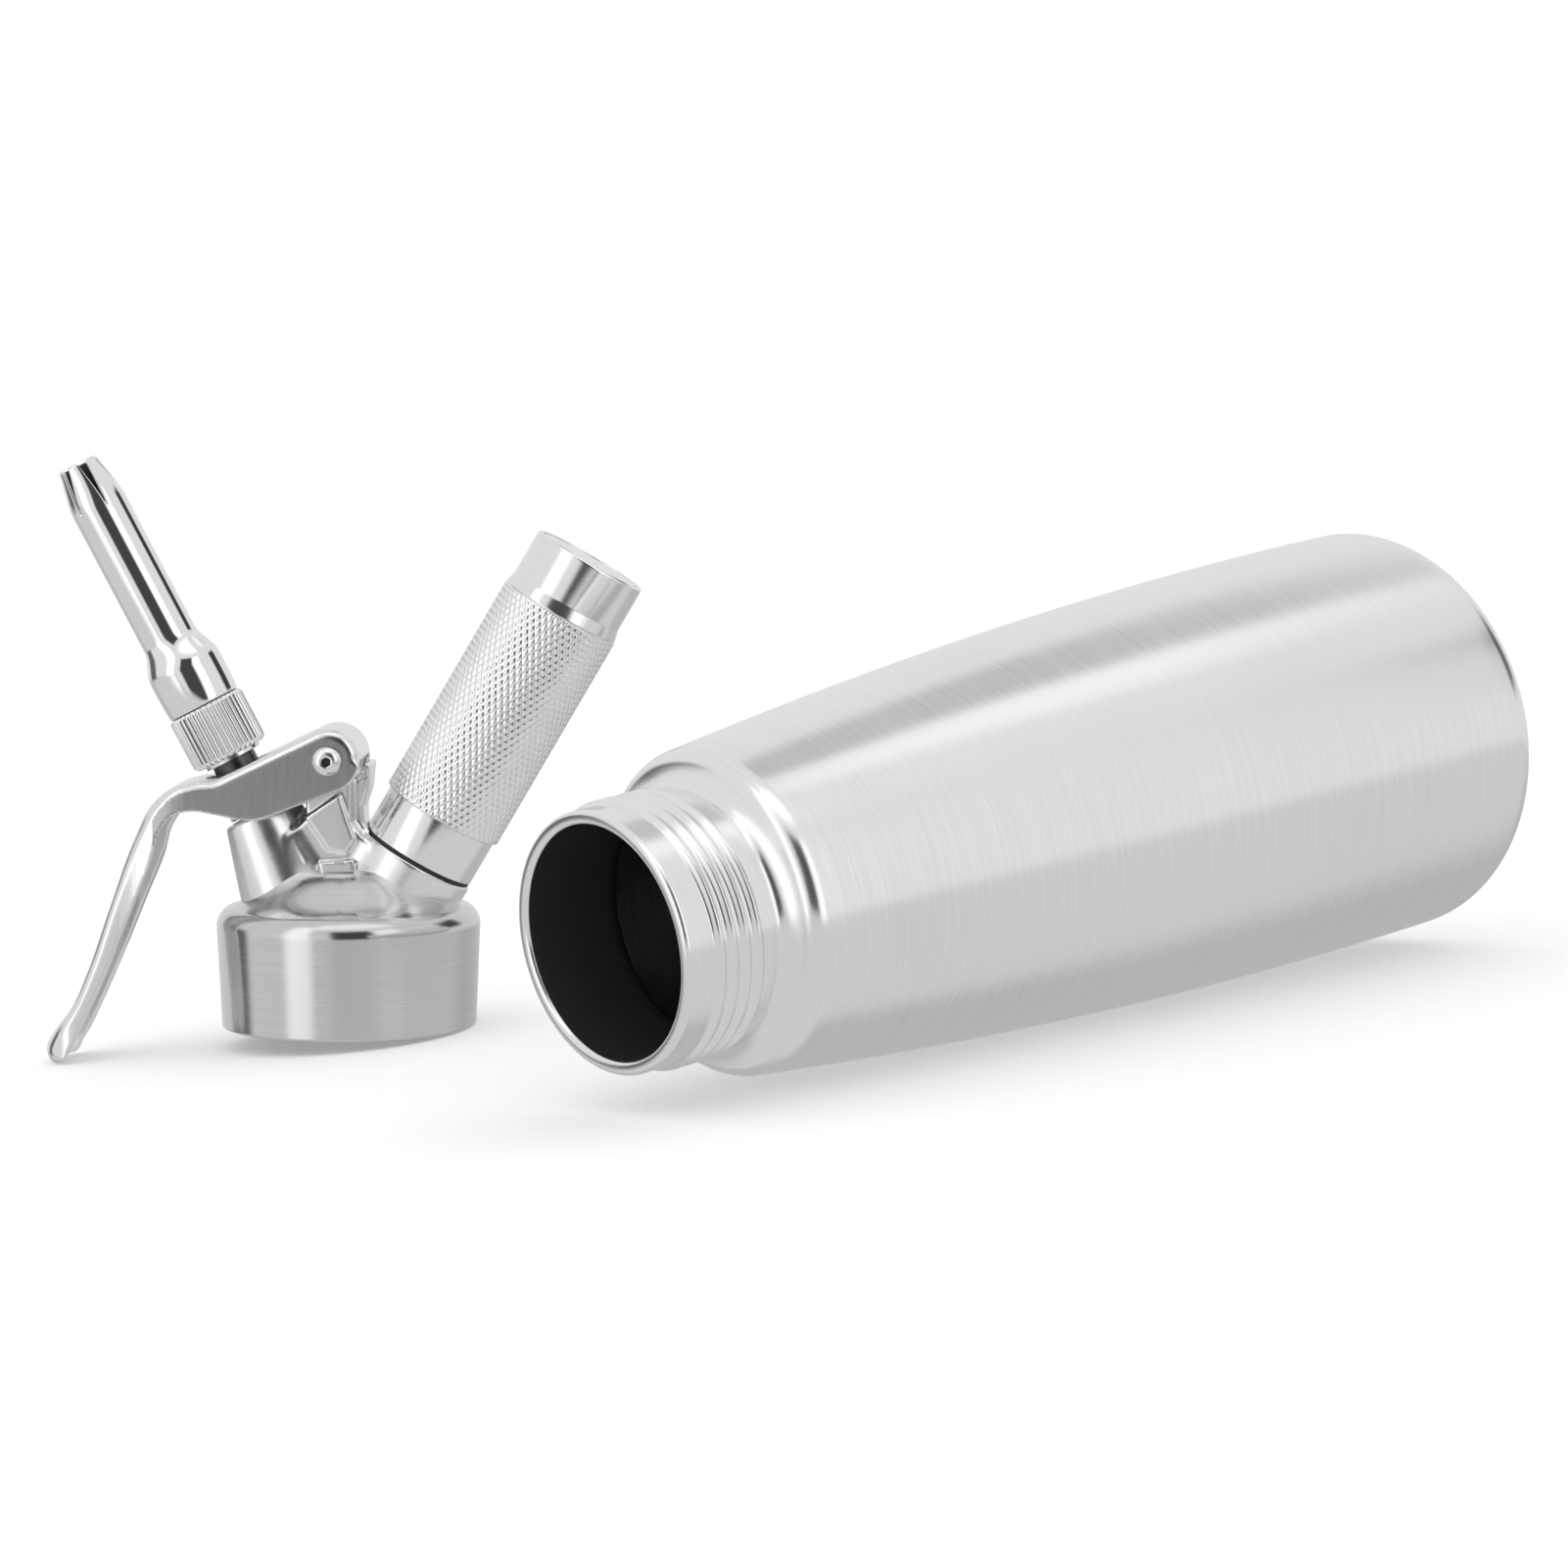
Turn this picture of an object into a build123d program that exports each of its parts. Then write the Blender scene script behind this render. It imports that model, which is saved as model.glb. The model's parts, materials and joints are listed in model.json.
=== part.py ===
"""Whipped cream dispenser with its head unscrewed, standing beside the bottle.

Millimetres, +Z up, floor at z = 0. The bottle lies along +X with its mouth towards -X.
Every head piece is drawn in the head's own frame (ring's bottom plane at z = 0, charger
holder towards +X, handle towards -X) and then put down where the head stands.
"""

import os
from math import asin, atan, cos, degrees, hypot, pi, radians, sin, tan

from build123d import *

# ---------------------------------------------------------------- fits and clearances
RUN = 0.06  # radial running clearance of a shaft in its bore
GAP = 0.3  # gap between faces that move past each other
SEAT = 0.05  # gap between faces that rest on each other
BITE = 0.4  # how far a thread ridge is rooted in its wall

# ---------------------------------------------------------------- bottle
BOTTLE_LENGTH = 245.5
BOTTLE_MAX_R = 48.3
BOTTLE_WIDEST = 235.0  # distance of the widest circle from the mouth
SIDE_ARC_R = 1640.0  # radius of the long arc of the side
SIDE_POINTS = 8
BOTTLE_WALL = 1.5
BASE_CORNER_R = 7.5
BASE_THICK = 2.5
BASE_FOOT_R = 37.0  # inner radius of the flat ring that the bottle stands on
BASE_HOLLOW = 2.0
NECK_R = 28.1
NECK_WALL = 3.1
MOUTH_R = NECK_R - NECK_WALL
LIP_R = 1.3
NECK_LENGTH = 24.0
SHOULDER_AT = 29.5  # ridge where the shoulder turns into the side
SHOULDER_EDGE_R = 1.6
NECK_PITCH = 3.4
NECK_CREST = 1.1
NECK_THREAD_START = 6.2
NECK_THREAD_TURNS = 4.5
REST_AT = 129.0  # where the lying bottle touches the floor, under its centre of mass

# ---------------------------------------------------------------- head casting
RING_BORE_R = NECK_R + NECK_CREST + GAP  # the bottle's neck screws into it
RING_BOTTOM_R = RING_BORE_R + 1.3
RING_TOP_R = RING_BORE_R + 2.4
RING_HEIGHT = 24.5
RING_EDGE = 0.6  # chamfer round the ring's bottom
SHOULDER_R = 28.6
SHOULDER_Z = 29.2
ROOF_TOP_R = 15.0
ROOF_TOP_Z = 38.5
CAVITY_TOP = 25.0
INNER_DOME_R = 20.0
INNER_DOME_Z = 30.0
RING_THREAD_Z = 3.5
RING_THREAD_TURNS = 4.0
GASKET_THICK = 2.5
GASKET_BORE_R = MOUTH_R - 3.0

# ---------------------------------------------------------------- valve tower and piston
NOZZLE_TILT = 27.3  # lean of the nozzle's axis towards -X
TOWER_X = -17.5
TOWER_Z = 45.0
TOWER_TOP = 5.5  # top of the guide bush along the nozzle's axis
RIM_TOP = 8.0  # top of the tower's rim round it
TOWER_TOP_R = 10.6
TOWER_FOOT_X = -10.8
TOWER_FOOT_Z = 27.0
TOWER_FOOT_RX = 15.2
TOWER_FOOT_RY = 13.6
VALVE_SEAT = -18.5
VALVE_POCKET_R = 8.8
STEM_BORE_R = 6.2
STEM_R = 5.5
STEM_BORE = 2.8
STEM_BORE_FROM = -11.0
STEM_SPIGOT_R = 3.0
STEM_STEP = 22.2
STEM_THREAD_R = 5.0
STEM_TOP = 34.0
GUIDE_R = 8.0
GUIDE_LENGTH = 4.0
VALVE_SEAL_R = 7.8
VALVE_SEAL_THICK = 2.4
END_SCREW_R = 4.0
END_SCREW_THICK = 1.8
END_SCREW_SHANK_R = 1.5
UPPER_SEAL_AT = -5.0
UPPER_SEAL_WIDTH = 2.4
COLLAR_R = 7.8
COLLAR_THICK = 2.0
SPRING_WIRE = 1.2
SPRING_TURNS = 4.5
CLIP_R = 7.4
CLIP_THICK = 1.2
CLIP_LUG = 1.4
CLIP_LUG_LENGTH = 2.4

# ---------------------------------------------------------------- lever
PIVOT_X = -3.3
PIVOT_Z = 65.2
PLATE_TILT = 25.5  # slope of the lever's top plate, down towards the handle
LEVER_END_R = 7.6
LEVER_HALF_WIDTH = 13.0
LEVER_WALL = 1.6
LEVER_EDGE_R = 2.0
HANDLE_HALF_WIDTH = 10.5
PLATE_LENGTH = 26.0
SLOT_HALF_WIDTH = 6.6
SLOT_HALF_LENGTH = 9.4
POST_HALF_WIDTH = 9.5
POST_END_R = 5.3
SCREW_R = 2.5
SCREW_HEAD_R = 3.6
SCREW_HEAD_HEIGHT = 2.2
SCREW_SOCKET = 2.2
NUT_ACROSS_FLATS = 7.0
NUT_HEIGHT = 3.0
BUSH_WALL = 0.9
LOWER_EDGE_TILT = 21.5  # slope of the flanges' lower edge
OPEN_ANGLE = -56.6  # direction in which the channel is open, from +X towards +Z
INSIDE_POINTS = 16  # points of the curve along the inside of the handle
NARROW_FROM = -38.0  # the channel narrows to the handle between these two
NARROW_TO = -54.0
TIP_ROUND_FROM = -66.0
TIP_ROUND_TO = -75.5
FINGER_EDGE_X = -70.5  # round lower edge of the handle
FINGER_EDGE_Z = -5.75
FINGER_EDGE_R = 3.2
HANDLE_OUTER = [
    (-36.2, 59.9),
    (-41.6, 58.2),
    (-46.4, 54.0),
    (-50.0, 47.2),
    (-56.8, 29.4),
    (-62.4, 13.8),
    (-66.9, 4.2),
    (-71.2, -1.2),
]
HANDLE_INNER = [
    (-65.0, -2.4),
    (-61.2, 5.4),
    (-55.6, 17.9),
    (-50.2, 30.9),
    (-46.2, 40.6),
    (-44.0, 48.0),
    (-41.0, 51.7),
    (-37.0, 53.0),
    (-30.4, 52.2),
    (-24.2, 51.0),
    (-18.0, 51.6),
]
POST_OUTLINE = [
    (-14.0, 38.0),
    (-13.0, 46.0),
    (-8.6, 51.0),
    (-8.6, 65.2),
    (2.0, 65.2),
    (1.6, 58.0),
    (1.6, 50.0),
    (6.0, 44.0),
    (8.0, 34.0),
]
RIB_OUTLINE = [
    (-2.0, 34.0),
    (-2.0, 58.0),
    (5.0, 61.2),
    (5.0, 63.8),
    (6.2, 63.8),
    (5.6, 58.0),
    (4.2, 53.6),
    (4.4, 49.7),
    (6.6, 46.2),
    (12.0, 42.6),
    (12.0, 34.0),
]
RIB_HALF_WIDTH = 6.5
PANEL_OUTLINE = [
    (-13.5, 48.4),
    (-9.4, 51.6),
    (-4.6, 43.2),
    (-9.2, 40.6),
]
PANEL_HALF_WIDTH = 10.2

# ---------------------------------------------------------------- nozzle
NUT_BOTTOM = 23.1
NUT_LENGTH = 13.7
NUT_R = 9.6
NUT_RIBS = 36
NUT_RIB_DEPTH = 0.55
NUT_CHAMFER = 1.0
NUT_RECESS_R = 7.75  # room for the clip inside the nut's lower end
NUT_RECESS_TOP = 25.3
NUT_TOP_CHAMFER = 0.5
WASHER_THICK = 1.0
TIP_BELL_R = 9.25
TIP_BELL_LENGTH = 13.0
TIP_CONE_LENGTH = 5.4
TIP_BARREL_R = 6.85
TIP_BARREL_LENGTH = 35.5
TIP_CROWN_LENGTH = 11.4
TIP_END_R = 4.9
TIP_WALL = 0.9
TIP_SLOTS = 6
TIP_SLOT_DEPTH = 11.8
TIP_SLOT_WIDTH = 2.6
TIP_SLOT_TURN = -64.5
SPIGOT_LENGTH = 5.0

# ---------------------------------------------------------------- charger port and holder
PORT_TILT = 30.5  # lean of the holder's axis towards +X
PORT_X = 17.0
PORT_Z = 41.1
PORT_BOSS_R = 14.6
PORT_RING_THICK = 0.9
NIPPLE_R = 11.4
NIPPLE_LENGTH = 12.5
NIPPLE_FOOT = 3.0
NIPPLE_BORE_R = 5.2
HOLDER_R = 15.15
HOLDER_COLLAR_R = 14.3
HOLDER_COLLAR_LENGTH = 11.4
POST_HOLDER_GAP = 1.3  # room between the lever post and the holder's collar
HOLDER_SLEEVE_LENGTH = 57.0
HOLDER_BAND_R = 14.6
HOLDER_BAND_LENGTH = 3.0
HOLDER_CAP_R = 14.3
HOLDER_LENGTH = 83.5
HOLDER_THREAD_R = NIPPLE_R + RUN
HOLDER_BORE_R = 9.6
HOLDER_EDGE_R = 1.2
DISC_R = 12.6
DISC_THICK = 1.6
DISC_SUNK = 0.25
CHARGER_R = 9.0
CHARGER_LENGTH = 66.0
CHARGER_NECK_R = 4.4
CHARGER_NECK_LENGTH = 9.0
CHARGER_FROM = 3.9  # neck's tip along the holder's axis
PIN_R = 0.9
PIN_REACH = 3.0  # how far the needle stands inside the charger's neck
PIN_BASE_AT = -0.2
PIN_BASE_THICK = 1.6
VALVE_BODY_R = 3.0
VALVE_BODY_LENGTH = 3.0
GAS_WAY_R = 1.5

# ---------------------------------------------------------------- where things stand
HEAD_X = -70.13  # the origin lies under the middle of the whole
HEAD_Y = 78.99
HEAD_TURN = -41.4  # the head's +X seen from above
MOUTH_X = -117.13
MOUTH_Y = -85.31

# The unscrewed head rests on the ring's right edge and on the edge of its handle.
HEAD_EDGE_X = RING_BOTTOM_R - RING_EDGE
HEAD_SPAN = hypot(HEAD_EDGE_X - FINGER_EDGE_X, FINGER_EDGE_Z)
HEAD_LEAN = degrees(atan(-FINGER_EDGE_Z / (HEAD_EDGE_X - FINGER_EDGE_X)) + asin(FINGER_EDGE_R / HEAD_SPAN))
HEAD_LIFT = HEAD_EDGE_X * sin(radians(HEAD_LEAN))
BOTTLE_TILT = degrees(atan((BOTTLE_WIDEST - REST_AT) / SIDE_ARC_R))
MOUTH_Z = (
    SIDE_ARC_R
    - BOTTLE_WIDEST * sin(radians(BOTTLE_TILT))
    - (SIDE_ARC_R - BOTTLE_MAX_R) * cos(radians(BOTTLE_TILT))
)

HEAD_PLACE = Pos(HEAD_X, HEAD_Y, HEAD_LIFT) * Rot(0, 0, HEAD_TURN) * Rot(0, HEAD_LEAN, 0)
BOTTLE_PLACE = Pos(MOUTH_X, MOUTH_Y, MOUTH_Z) * Rot(0, 90 - BOTTLE_TILT, 0)
NOZZLE_FRAME = Pos(TOWER_X, 0, TOWER_Z) * Rot(0, -NOZZLE_TILT, 0)
PORT_FRAME = Pos(PORT_X, 0, PORT_Z) * Rot(0, PORT_TILT, 0)
PIVOT_FRAME = Pos(PIVOT_X, 0, PIVOT_Z)
LEVER_FRAME = PIVOT_FRAME * Rot(0, -PLATE_TILT, 0)


# ---------------------------------------------------------------- helpers
def side_r(t):
    """Outer radius of the bottle's side at distance t from the mouth."""
    return BOTTLE_MAX_R - SIDE_ARC_R + (SIDE_ARC_R**2 - (BOTTLE_WIDEST - t) ** 2) ** 0.5


def turned(*points):
    """Solid of revolution about Z of a closed outline of (radius, height) points."""
    outline = Polyline(*[(r, 0, z) for r, z in points], close=True)
    return revolve(make_face(outline), Axis.Z)


def closed(*runs):
    """Face inside a closed outline made of lines, arcs and curves in order."""
    return make_face(Wire([edge for run in runs for edge in run.edges()]))


def rod(radius, bottom, top):
    """Cylinder about Z between two heights."""
    return Pos(0, 0, (bottom + top) / 2) * Cylinder(radius, top - bottom)


def tube(outer, inner, bottom, top):
    """Hollow cylinder about Z between two heights."""
    return rod(outer, bottom, top) - rod(inner, bottom - 1, top + 1)


def side_plate(points, half_width):
    """Plate of the given (x, z) outline, centred on Y = 0."""
    outline = Polyline(*[(x, 0, z) for x, z in points], close=True)
    return extrude(make_face(outline), amount=half_width, dir=(0, 1, 0), both=True)


def thread_ridge(root_r, crest, pitch, start, turns, outward):
    """One helical ridge, rooted in the wall at root_r and standing crest out of it."""
    side = 1 if outward else -1
    path = Pos(0, 0, start) * Helix(pitch, pitch * turns, root_r)
    root = 0.34 * pitch
    tip = 0.1 * pitch
    points = [(-side * BITE, -root), (side * crest, -tip), (side * crest, tip), (-side * BITE, root)]
    section = make_face(Polyline(*points, close=True))
    place = Plane(origin=path @ 0, x_dir=(1, 0, 0), z_dir=path % 0)
    return sweep(place * section, path=path, is_frenet=True)


# ---------------------------------------------------------------- bottle
def side_run(start, end, inset):
    """Points and end tangents of the bottle's long curved side, drawn in by inset."""
    points = []
    for i in range(SIDE_POINTS + 1):
        t = start + (end - start) * i / SIDE_POINTS
        points.append((side_r(t) - inset, 0, t))
    way = 1 if end > start else -1
    tangents = []
    for t in (start, end):
        rise = (BOTTLE_WIDEST - t) / (side_r(t) - BOTTLE_MAX_R + SIDE_ARC_R)
        tangents.append((way * rise, 0, way))
    return Spline(*points, tangents=tangents)


def base_hollow(height):
    """Shallow dish from the axis out to the ring that the bottle stands on."""
    slope = 2 * BASE_HOLLOW / BASE_FOOT_R
    return Spline((0, 0, height - BASE_HOLLOW), (BASE_FOOT_R, 0, height), tangents=[(1, 0, 0), (1, 0, slope)])


def bottle_shell():
    """Drawn bottle: thick neck with an outside thread, shoulder, long curved side, base."""
    inner_top = SHOULDER_AT + 2.5
    edge_t = SHOULDER_AT - SHOULDER_EDGE_R
    edge_r = side_r(SHOULDER_AT) - SHOULDER_EDGE_R
    side_t = SHOULDER_AT + 1
    end_t = BOTTLE_LENGTH - BASE_CORNER_R
    wall = BOTTLE_WALL
    inner_end = BOTTLE_LENGTH - BASE_THICK
    corner = BASE_CORNER_R - wall
    foot_r = side_r(end_t) - BASE_CORNER_R
    inner_end_t = inner_end - corner
    inner_foot_r = side_r(inner_end_t) - wall - corner
    q = 1 - cos(pi / 4)
    outer = closed(
        Line((0, 0, BOTTLE_LENGTH - BASE_HOLLOW), (0, 0, 0)),
        Line((0, 0, 0), (NECK_R - LIP_R, 0, 0)),
        ThreePointArc((NECK_R - LIP_R, 0, 0), (NECK_R - LIP_R * q, 0, LIP_R * q), (NECK_R, 0, LIP_R)),
        Line((NECK_R, 0, LIP_R), (NECK_R, 0, NECK_LENGTH)),
        Spline((NECK_R, 0, NECK_LENGTH), (edge_r, 0, edge_t), tangents=[(0, 0, 1), (1, 0, 0.35)]),
        Spline((edge_r, 0, edge_t), (side_r(side_t), 0, side_t), tangents=[(1, 0, 0.35), (0.125, 0, 1)]),
        side_run(side_t, end_t, 0),
        ThreePointArc(
            (side_r(end_t), 0, end_t),
            (side_r(end_t) - BASE_CORNER_R * q, 0, BOTTLE_LENGTH - BASE_CORNER_R * q),
            (foot_r, 0, BOTTLE_LENGTH),
        ),
        Line((foot_r, 0, BOTTLE_LENGTH), (BASE_FOOT_R, 0, BOTTLE_LENGTH)),
        base_hollow(BOTTLE_LENGTH),
    )
    inner = closed(
        Line((0, 0, -LIP_R), (0, 0, inner_end - BASE_HOLLOW)),
        base_hollow(inner_end),
        Line((BASE_FOOT_R, 0, inner_end), (inner_foot_r, 0, inner_end)),
        ThreePointArc(
            (inner_foot_r, 0, inner_end),
            (inner_foot_r + corner * (1 - q), 0, inner_end - corner * q),
            (inner_foot_r + corner, 0, inner_end_t),
        ),
        side_run(inner_end_t, inner_top, wall),
        Spline(
            (side_r(inner_top) - wall, 0, inner_top),
            (MOUTH_R, 0, NECK_LENGTH - 1),
            tangents=[(-0.3, 0, -1), (0, 0, -1)],
        ),
        Line((MOUTH_R, 0, NECK_LENGTH - 1), (MOUTH_R, 0, LIP_R)),
        ThreePointArc((MOUTH_R, 0, LIP_R), (MOUTH_R + LIP_R * q, 0, LIP_R * q), (MOUTH_R + LIP_R, 0, 0)),
        Polyline((MOUTH_R + LIP_R, 0, 0), (MOUTH_R + LIP_R, 0, -LIP_R), (0, 0, -LIP_R)),
    )
    ridge = thread_ridge(NECK_R, NECK_CREST, NECK_PITCH, NECK_THREAD_START, NECK_THREAD_TURNS, True)
    return revolve(outer, Axis.Z) - revolve(inner, Axis.Z) + ridge


# ---------------------------------------------------------------- head casting
def ring_and_roof():
    """Screw ring with its rounded shoulder and the sloped roof above it."""
    outline = closed(
        Line((0, 0, 0), (RING_BOTTOM_R - RING_EDGE, 0, 0)),
        Line((RING_BOTTOM_R - RING_EDGE, 0, 0), (RING_BOTTOM_R, 0, RING_EDGE)),
        Line((RING_BOTTOM_R, 0, RING_EDGE), (RING_TOP_R, 0, RING_HEIGHT)),
        Spline(
            (RING_TOP_R, 0, RING_HEIGHT),
            (SHOULDER_R, 0, SHOULDER_Z),
            tangents=[(0.05, 0, 1), (-1, 0, 0.25)],
        ),
        Spline(
            (SHOULDER_R, 0, SHOULDER_Z),
            (ROOF_TOP_R, 0, ROOF_TOP_Z),
            tangents=[(-1, 0, 0.25), (-1, 0, 0.35)],
        ),
        Line((ROOF_TOP_R, 0, ROOF_TOP_Z), (0, 0, ROOF_TOP_Z)),
        Line((0, 0, ROOF_TOP_Z), (0, 0, 0)),
    )
    return revolve(outline, Axis.Z)


def valve_tower():
    """Boss round the nozzle's axis, flared towards the roof."""
    foot = Pos(TOWER_FOOT_X, 0, TOWER_FOOT_Z) * Ellipse(TOWER_FOOT_RX, TOWER_FOOT_RY)
    top = NOZZLE_FRAME * Pos(0, 0, RIM_TOP) * Circle(TOWER_TOP_R)
    tower = loft([foot.face(), top.face()])
    rim = tower.edges().sort_by(Axis.Z)[-1]
    return chamfer(rim, 1.0)


def whole_post():
    """Post that carries the lever's pivot, with a narrow rib behind it, down to the roof."""
    shaft = side_plate(POST_OUTLINE, POST_HALF_WIDTH)
    eye = PIVOT_FRAME * Rot(90, 0, 0) * rod(POST_END_R, -POST_HALF_WIDTH, POST_HALF_WIDTH)
    rib = side_plate(RIB_OUTLINE, RIB_HALF_WIDTH)
    return shaft + eye + rib


def above_foot():
    """Room above the lever post's foot, which is as high as the holder's seat comes."""
    tilt = radians(PORT_TILT)
    foot = PORT_Z + (HOLDER_COLLAR_R + GAP) * sin(tilt) - PORT_RING_THICK / 2 * cos(tilt)
    height = PIVOT_Z + 2 * POST_END_R - foot
    return Pos(0, 0, foot + height / 2) * Box(2 * RING_TOP_R, 2 * RING_TOP_R, height)


def panel_recess():
    """Shallow recess in both sides of the post."""
    beyond = 2 * TOWER_FOOT_RY
    return side_plate(PANEL_OUTLINE, beyond) - side_plate(PANEL_OUTLINE, PANEL_HALF_WIDTH)


def holder_room(gap):
    """Room that the holder's lower end turns in, with a gap all round it."""
    port_top = -PORT_RING_THICK / 2
    return PORT_FRAME * rod(HOLDER_COLLAR_R + gap, port_top, port_top + HOLDER_COLLAR_LENGTH)


def lever_post():
    """Upper part of the post, from the foot up, with the pivot's hole."""
    pivot_way = PIVOT_FRAME * Rot(90, 0, 0) * rod(SCREW_R + BUSH_WALL + RUN + SEAT, -20, 20)
    post = (whole_post() & above_foot()) - valve_tower() - pivot_way - panel_recess()
    return post - holder_room(POST_HOLDER_GAP)


def head_casting():
    """Ring, roof, valve tower, the post's foot and the charger port in one casting."""
    port_top = -PORT_RING_THICK / 2
    boss = PORT_FRAME * rod(PORT_BOSS_R, -22, port_top)
    body = ring_and_roof() + valve_tower() + (whole_post() - above_foot()) + boss
    cavity = turned(
        (0, -1),
        (RING_BORE_R, -1),
        (RING_BORE_R, CAVITY_TOP),
        (INNER_DOME_R, CAVITY_TOP),
        (INNER_DOME_R - 4, INNER_DOME_Z),
        (0, INNER_DOME_Z),
    )
    stem_way = rod(STEM_BORE_R, VALVE_SEAT - 1, RIM_TOP + 1)
    valve_pocket = rod(VALVE_POCKET_R, VALVE_SEAT - 16, VALVE_SEAT)
    guide_seat = rod(GUIDE_R, TOWER_TOP - GUIDE_LENGTH, RIM_TOP + 1)
    nipple_seat = rod(NIPPLE_R + SEAT, port_top - NIPPLE_FOOT, port_top + 1)
    valve_seat = rod(VALVE_BODY_R + SEAT, port_top - NIPPLE_FOOT - VALVE_BODY_LENGTH, port_top)
    gas_way = rod(GAS_WAY_R, -24, 0)
    body -= cavity
    body -= NOZZLE_FRAME * (stem_way + valve_pocket + guide_seat)
    body -= PORT_FRAME * (nipple_seat + valve_seat + gas_way)
    body -= holder_room(GAP)
    body -= panel_recess()
    ridge = thread_ridge(RING_BORE_R, NECK_CREST, NECK_PITCH, RING_THREAD_Z, RING_THREAD_TURNS, False)
    return body + ridge


def head_gasket():
    """Flat gasket under the roof, on which the bottle's lip seals."""
    return tube(RING_BORE_R - GAP, GASKET_BORE_R, CAVITY_TOP - GASKET_THICK - SEAT, CAVITY_TOP - SEAT)


# ---------------------------------------------------------------- charger port
def port_nipple():
    """Nipple that the charger holder screws onto."""
    bottom = -PORT_RING_THICK / 2 - NIPPLE_FOOT + SEAT
    body = tube(NIPPLE_R, NIPPLE_BORE_R, bottom, NIPPLE_LENGTH)
    return chamfer(body.edges().sort_by(Axis.Z)[-1], 0.6)


def port_o_ring():
    """Thin black ring under the holder's rim."""
    half = PORT_RING_THICK / 2
    return tube(HOLDER_COLLAR_R - 0.2, NIPPLE_R + SEAT, SEAT - half, half - SEAT)


def piercing_pin():
    """Hollow needle on a disc in the nipple."""
    disc = rod(NIPPLE_BORE_R - SEAT, PIN_BASE_AT, PIN_BASE_AT + PIN_BASE_THICK)
    tip = CHARGER_FROM + PIN_REACH
    needle = rod(PIN_R, PIN_BASE_AT + PIN_BASE_THICK, tip - PIN_R)
    point = Pos(0, 0, tip - PIN_R / 2) * Cone(PIN_R, PIN_R / 3, PIN_R)
    bore = rod(PIN_R / 3, PIN_BASE_AT - 1, tip + 1)
    return disc + needle + point - bore


def pin_gasket():
    """Seal round the needle, between its disc and the charger's neck."""
    return tube(NIPPLE_BORE_R - SEAT, PIN_R + SEAT, PIN_BASE_AT + PIN_BASE_THICK + SEAT, CHARGER_FROM - SEAT)


def non_return_valve():
    """Rubber valve under the needle that lets gas into the bottle only."""
    top = -PORT_RING_THICK / 2 - NIPPLE_FOOT
    return tube(VALVE_BODY_R, 0.5, top - VALVE_BODY_LENGTH + SEAT, top - SEAT)


# ---------------------------------------------------------------- piston
def plate_height(offset):
    """Distance of the lever's plate from the tower's origin, along the nozzle's axis.

    offset is the plate surface's distance from the pivot: its outside or its inside.
    """
    tilt = radians(PLATE_TILT)
    from_pivot_x = TOWER_X - PIVOT_X
    from_pivot_z = TOWER_Z - PIVOT_Z
    start = -from_pivot_x * sin(tilt) + from_pivot_z * cos(tilt)
    return (offset - start) / cos(radians(NOZZLE_TILT) - tilt)


COLLAR_SLOPE = COLLAR_R * tan(radians(NOZZLE_TILT - PLATE_TILT))
COLLAR_TOP = plate_height(LEVER_END_R - LEVER_WALL) - COLLAR_SLOPE - GAP
CLIP_BOTTOM = STEM_STEP + SEAT


def piston_stem():
    """Hollow stem up to its step: valve spigot below, seal groove, side ports."""
    spigot_bottom = VALVE_SEAT - VALVE_SEAL_THICK - 2 * SEAT
    body = rod(STEM_R, VALVE_SEAT, STEM_STEP)
    body += rod(STEM_SPIGOT_R, spigot_bottom, VALVE_SEAT)
    half = UPPER_SEAL_WIDTH / 2
    groove = tube(STEM_R + 1, STEM_R - 1, UPPER_SEAL_AT - half, UPPER_SEAL_AT + half)
    bore = rod(STEM_BORE, STEM_BORE_FROM, STEM_STEP + 1)
    port = Pos(0, 0, STEM_BORE_FROM + STEM_BORE) * Rot(90, 0, 0) * rod(1.8, -20, 20)
    screw_hole = rod(END_SCREW_SHANK_R + SEAT, spigot_bottom - 1, STEM_BORE_FROM - 1)
    return body - groove - bore - port - screw_hole


def stem_thread():
    """Threaded end on the stem's step, inside the nozzle nut."""
    return tube(STEM_THREAD_R, STEM_BORE, STEM_STEP, STEM_TOP)


def piston_valve_seal():
    """Rubber disc that closes the way through the tower from below."""
    top = VALVE_SEAT - SEAT
    return tube(VALVE_SEAL_R, STEM_SPIGOT_R + SEAT, top - VALVE_SEAL_THICK, top)


def piston_end_screw():
    """Screw that holds the valve disc on the stem."""
    top = VALVE_SEAT - VALVE_SEAL_THICK - 3 * SEAT
    head = rod(END_SCREW_R, top - END_SCREW_THICK, top)
    shank = rod(END_SCREW_SHANK_R, top, STEM_BORE_FROM - 1 - SEAT)
    slot = Pos(0, 0, top - END_SCREW_THICK) * Box(10, 1, 1.4)
    return head + shank - slot


def piston_upper_seal():
    """Ring in the stem's groove."""
    half = UPPER_SEAL_WIDTH / 2 - SEAT
    seal = tube(STEM_BORE_R - SEAT, STEM_R - 1 + SEAT, UPPER_SEAL_AT - half, UPPER_SEAL_AT + half)
    return fillet(seal.edges(), 0.4)


def piston_guide_bush():
    """Bush in the tower's top that guides the stem."""
    return tube(GUIDE_R - SEAT, STEM_R + RUN, TOWER_TOP - GUIDE_LENGTH + SEAT, TOWER_TOP)


def piston_collar():
    """Collar on the stem that the lever's plate pushes down."""
    return tube(COLLAR_R, STEM_R + SEAT, COLLAR_TOP - COLLAR_THICK, COLLAR_TOP)


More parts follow.
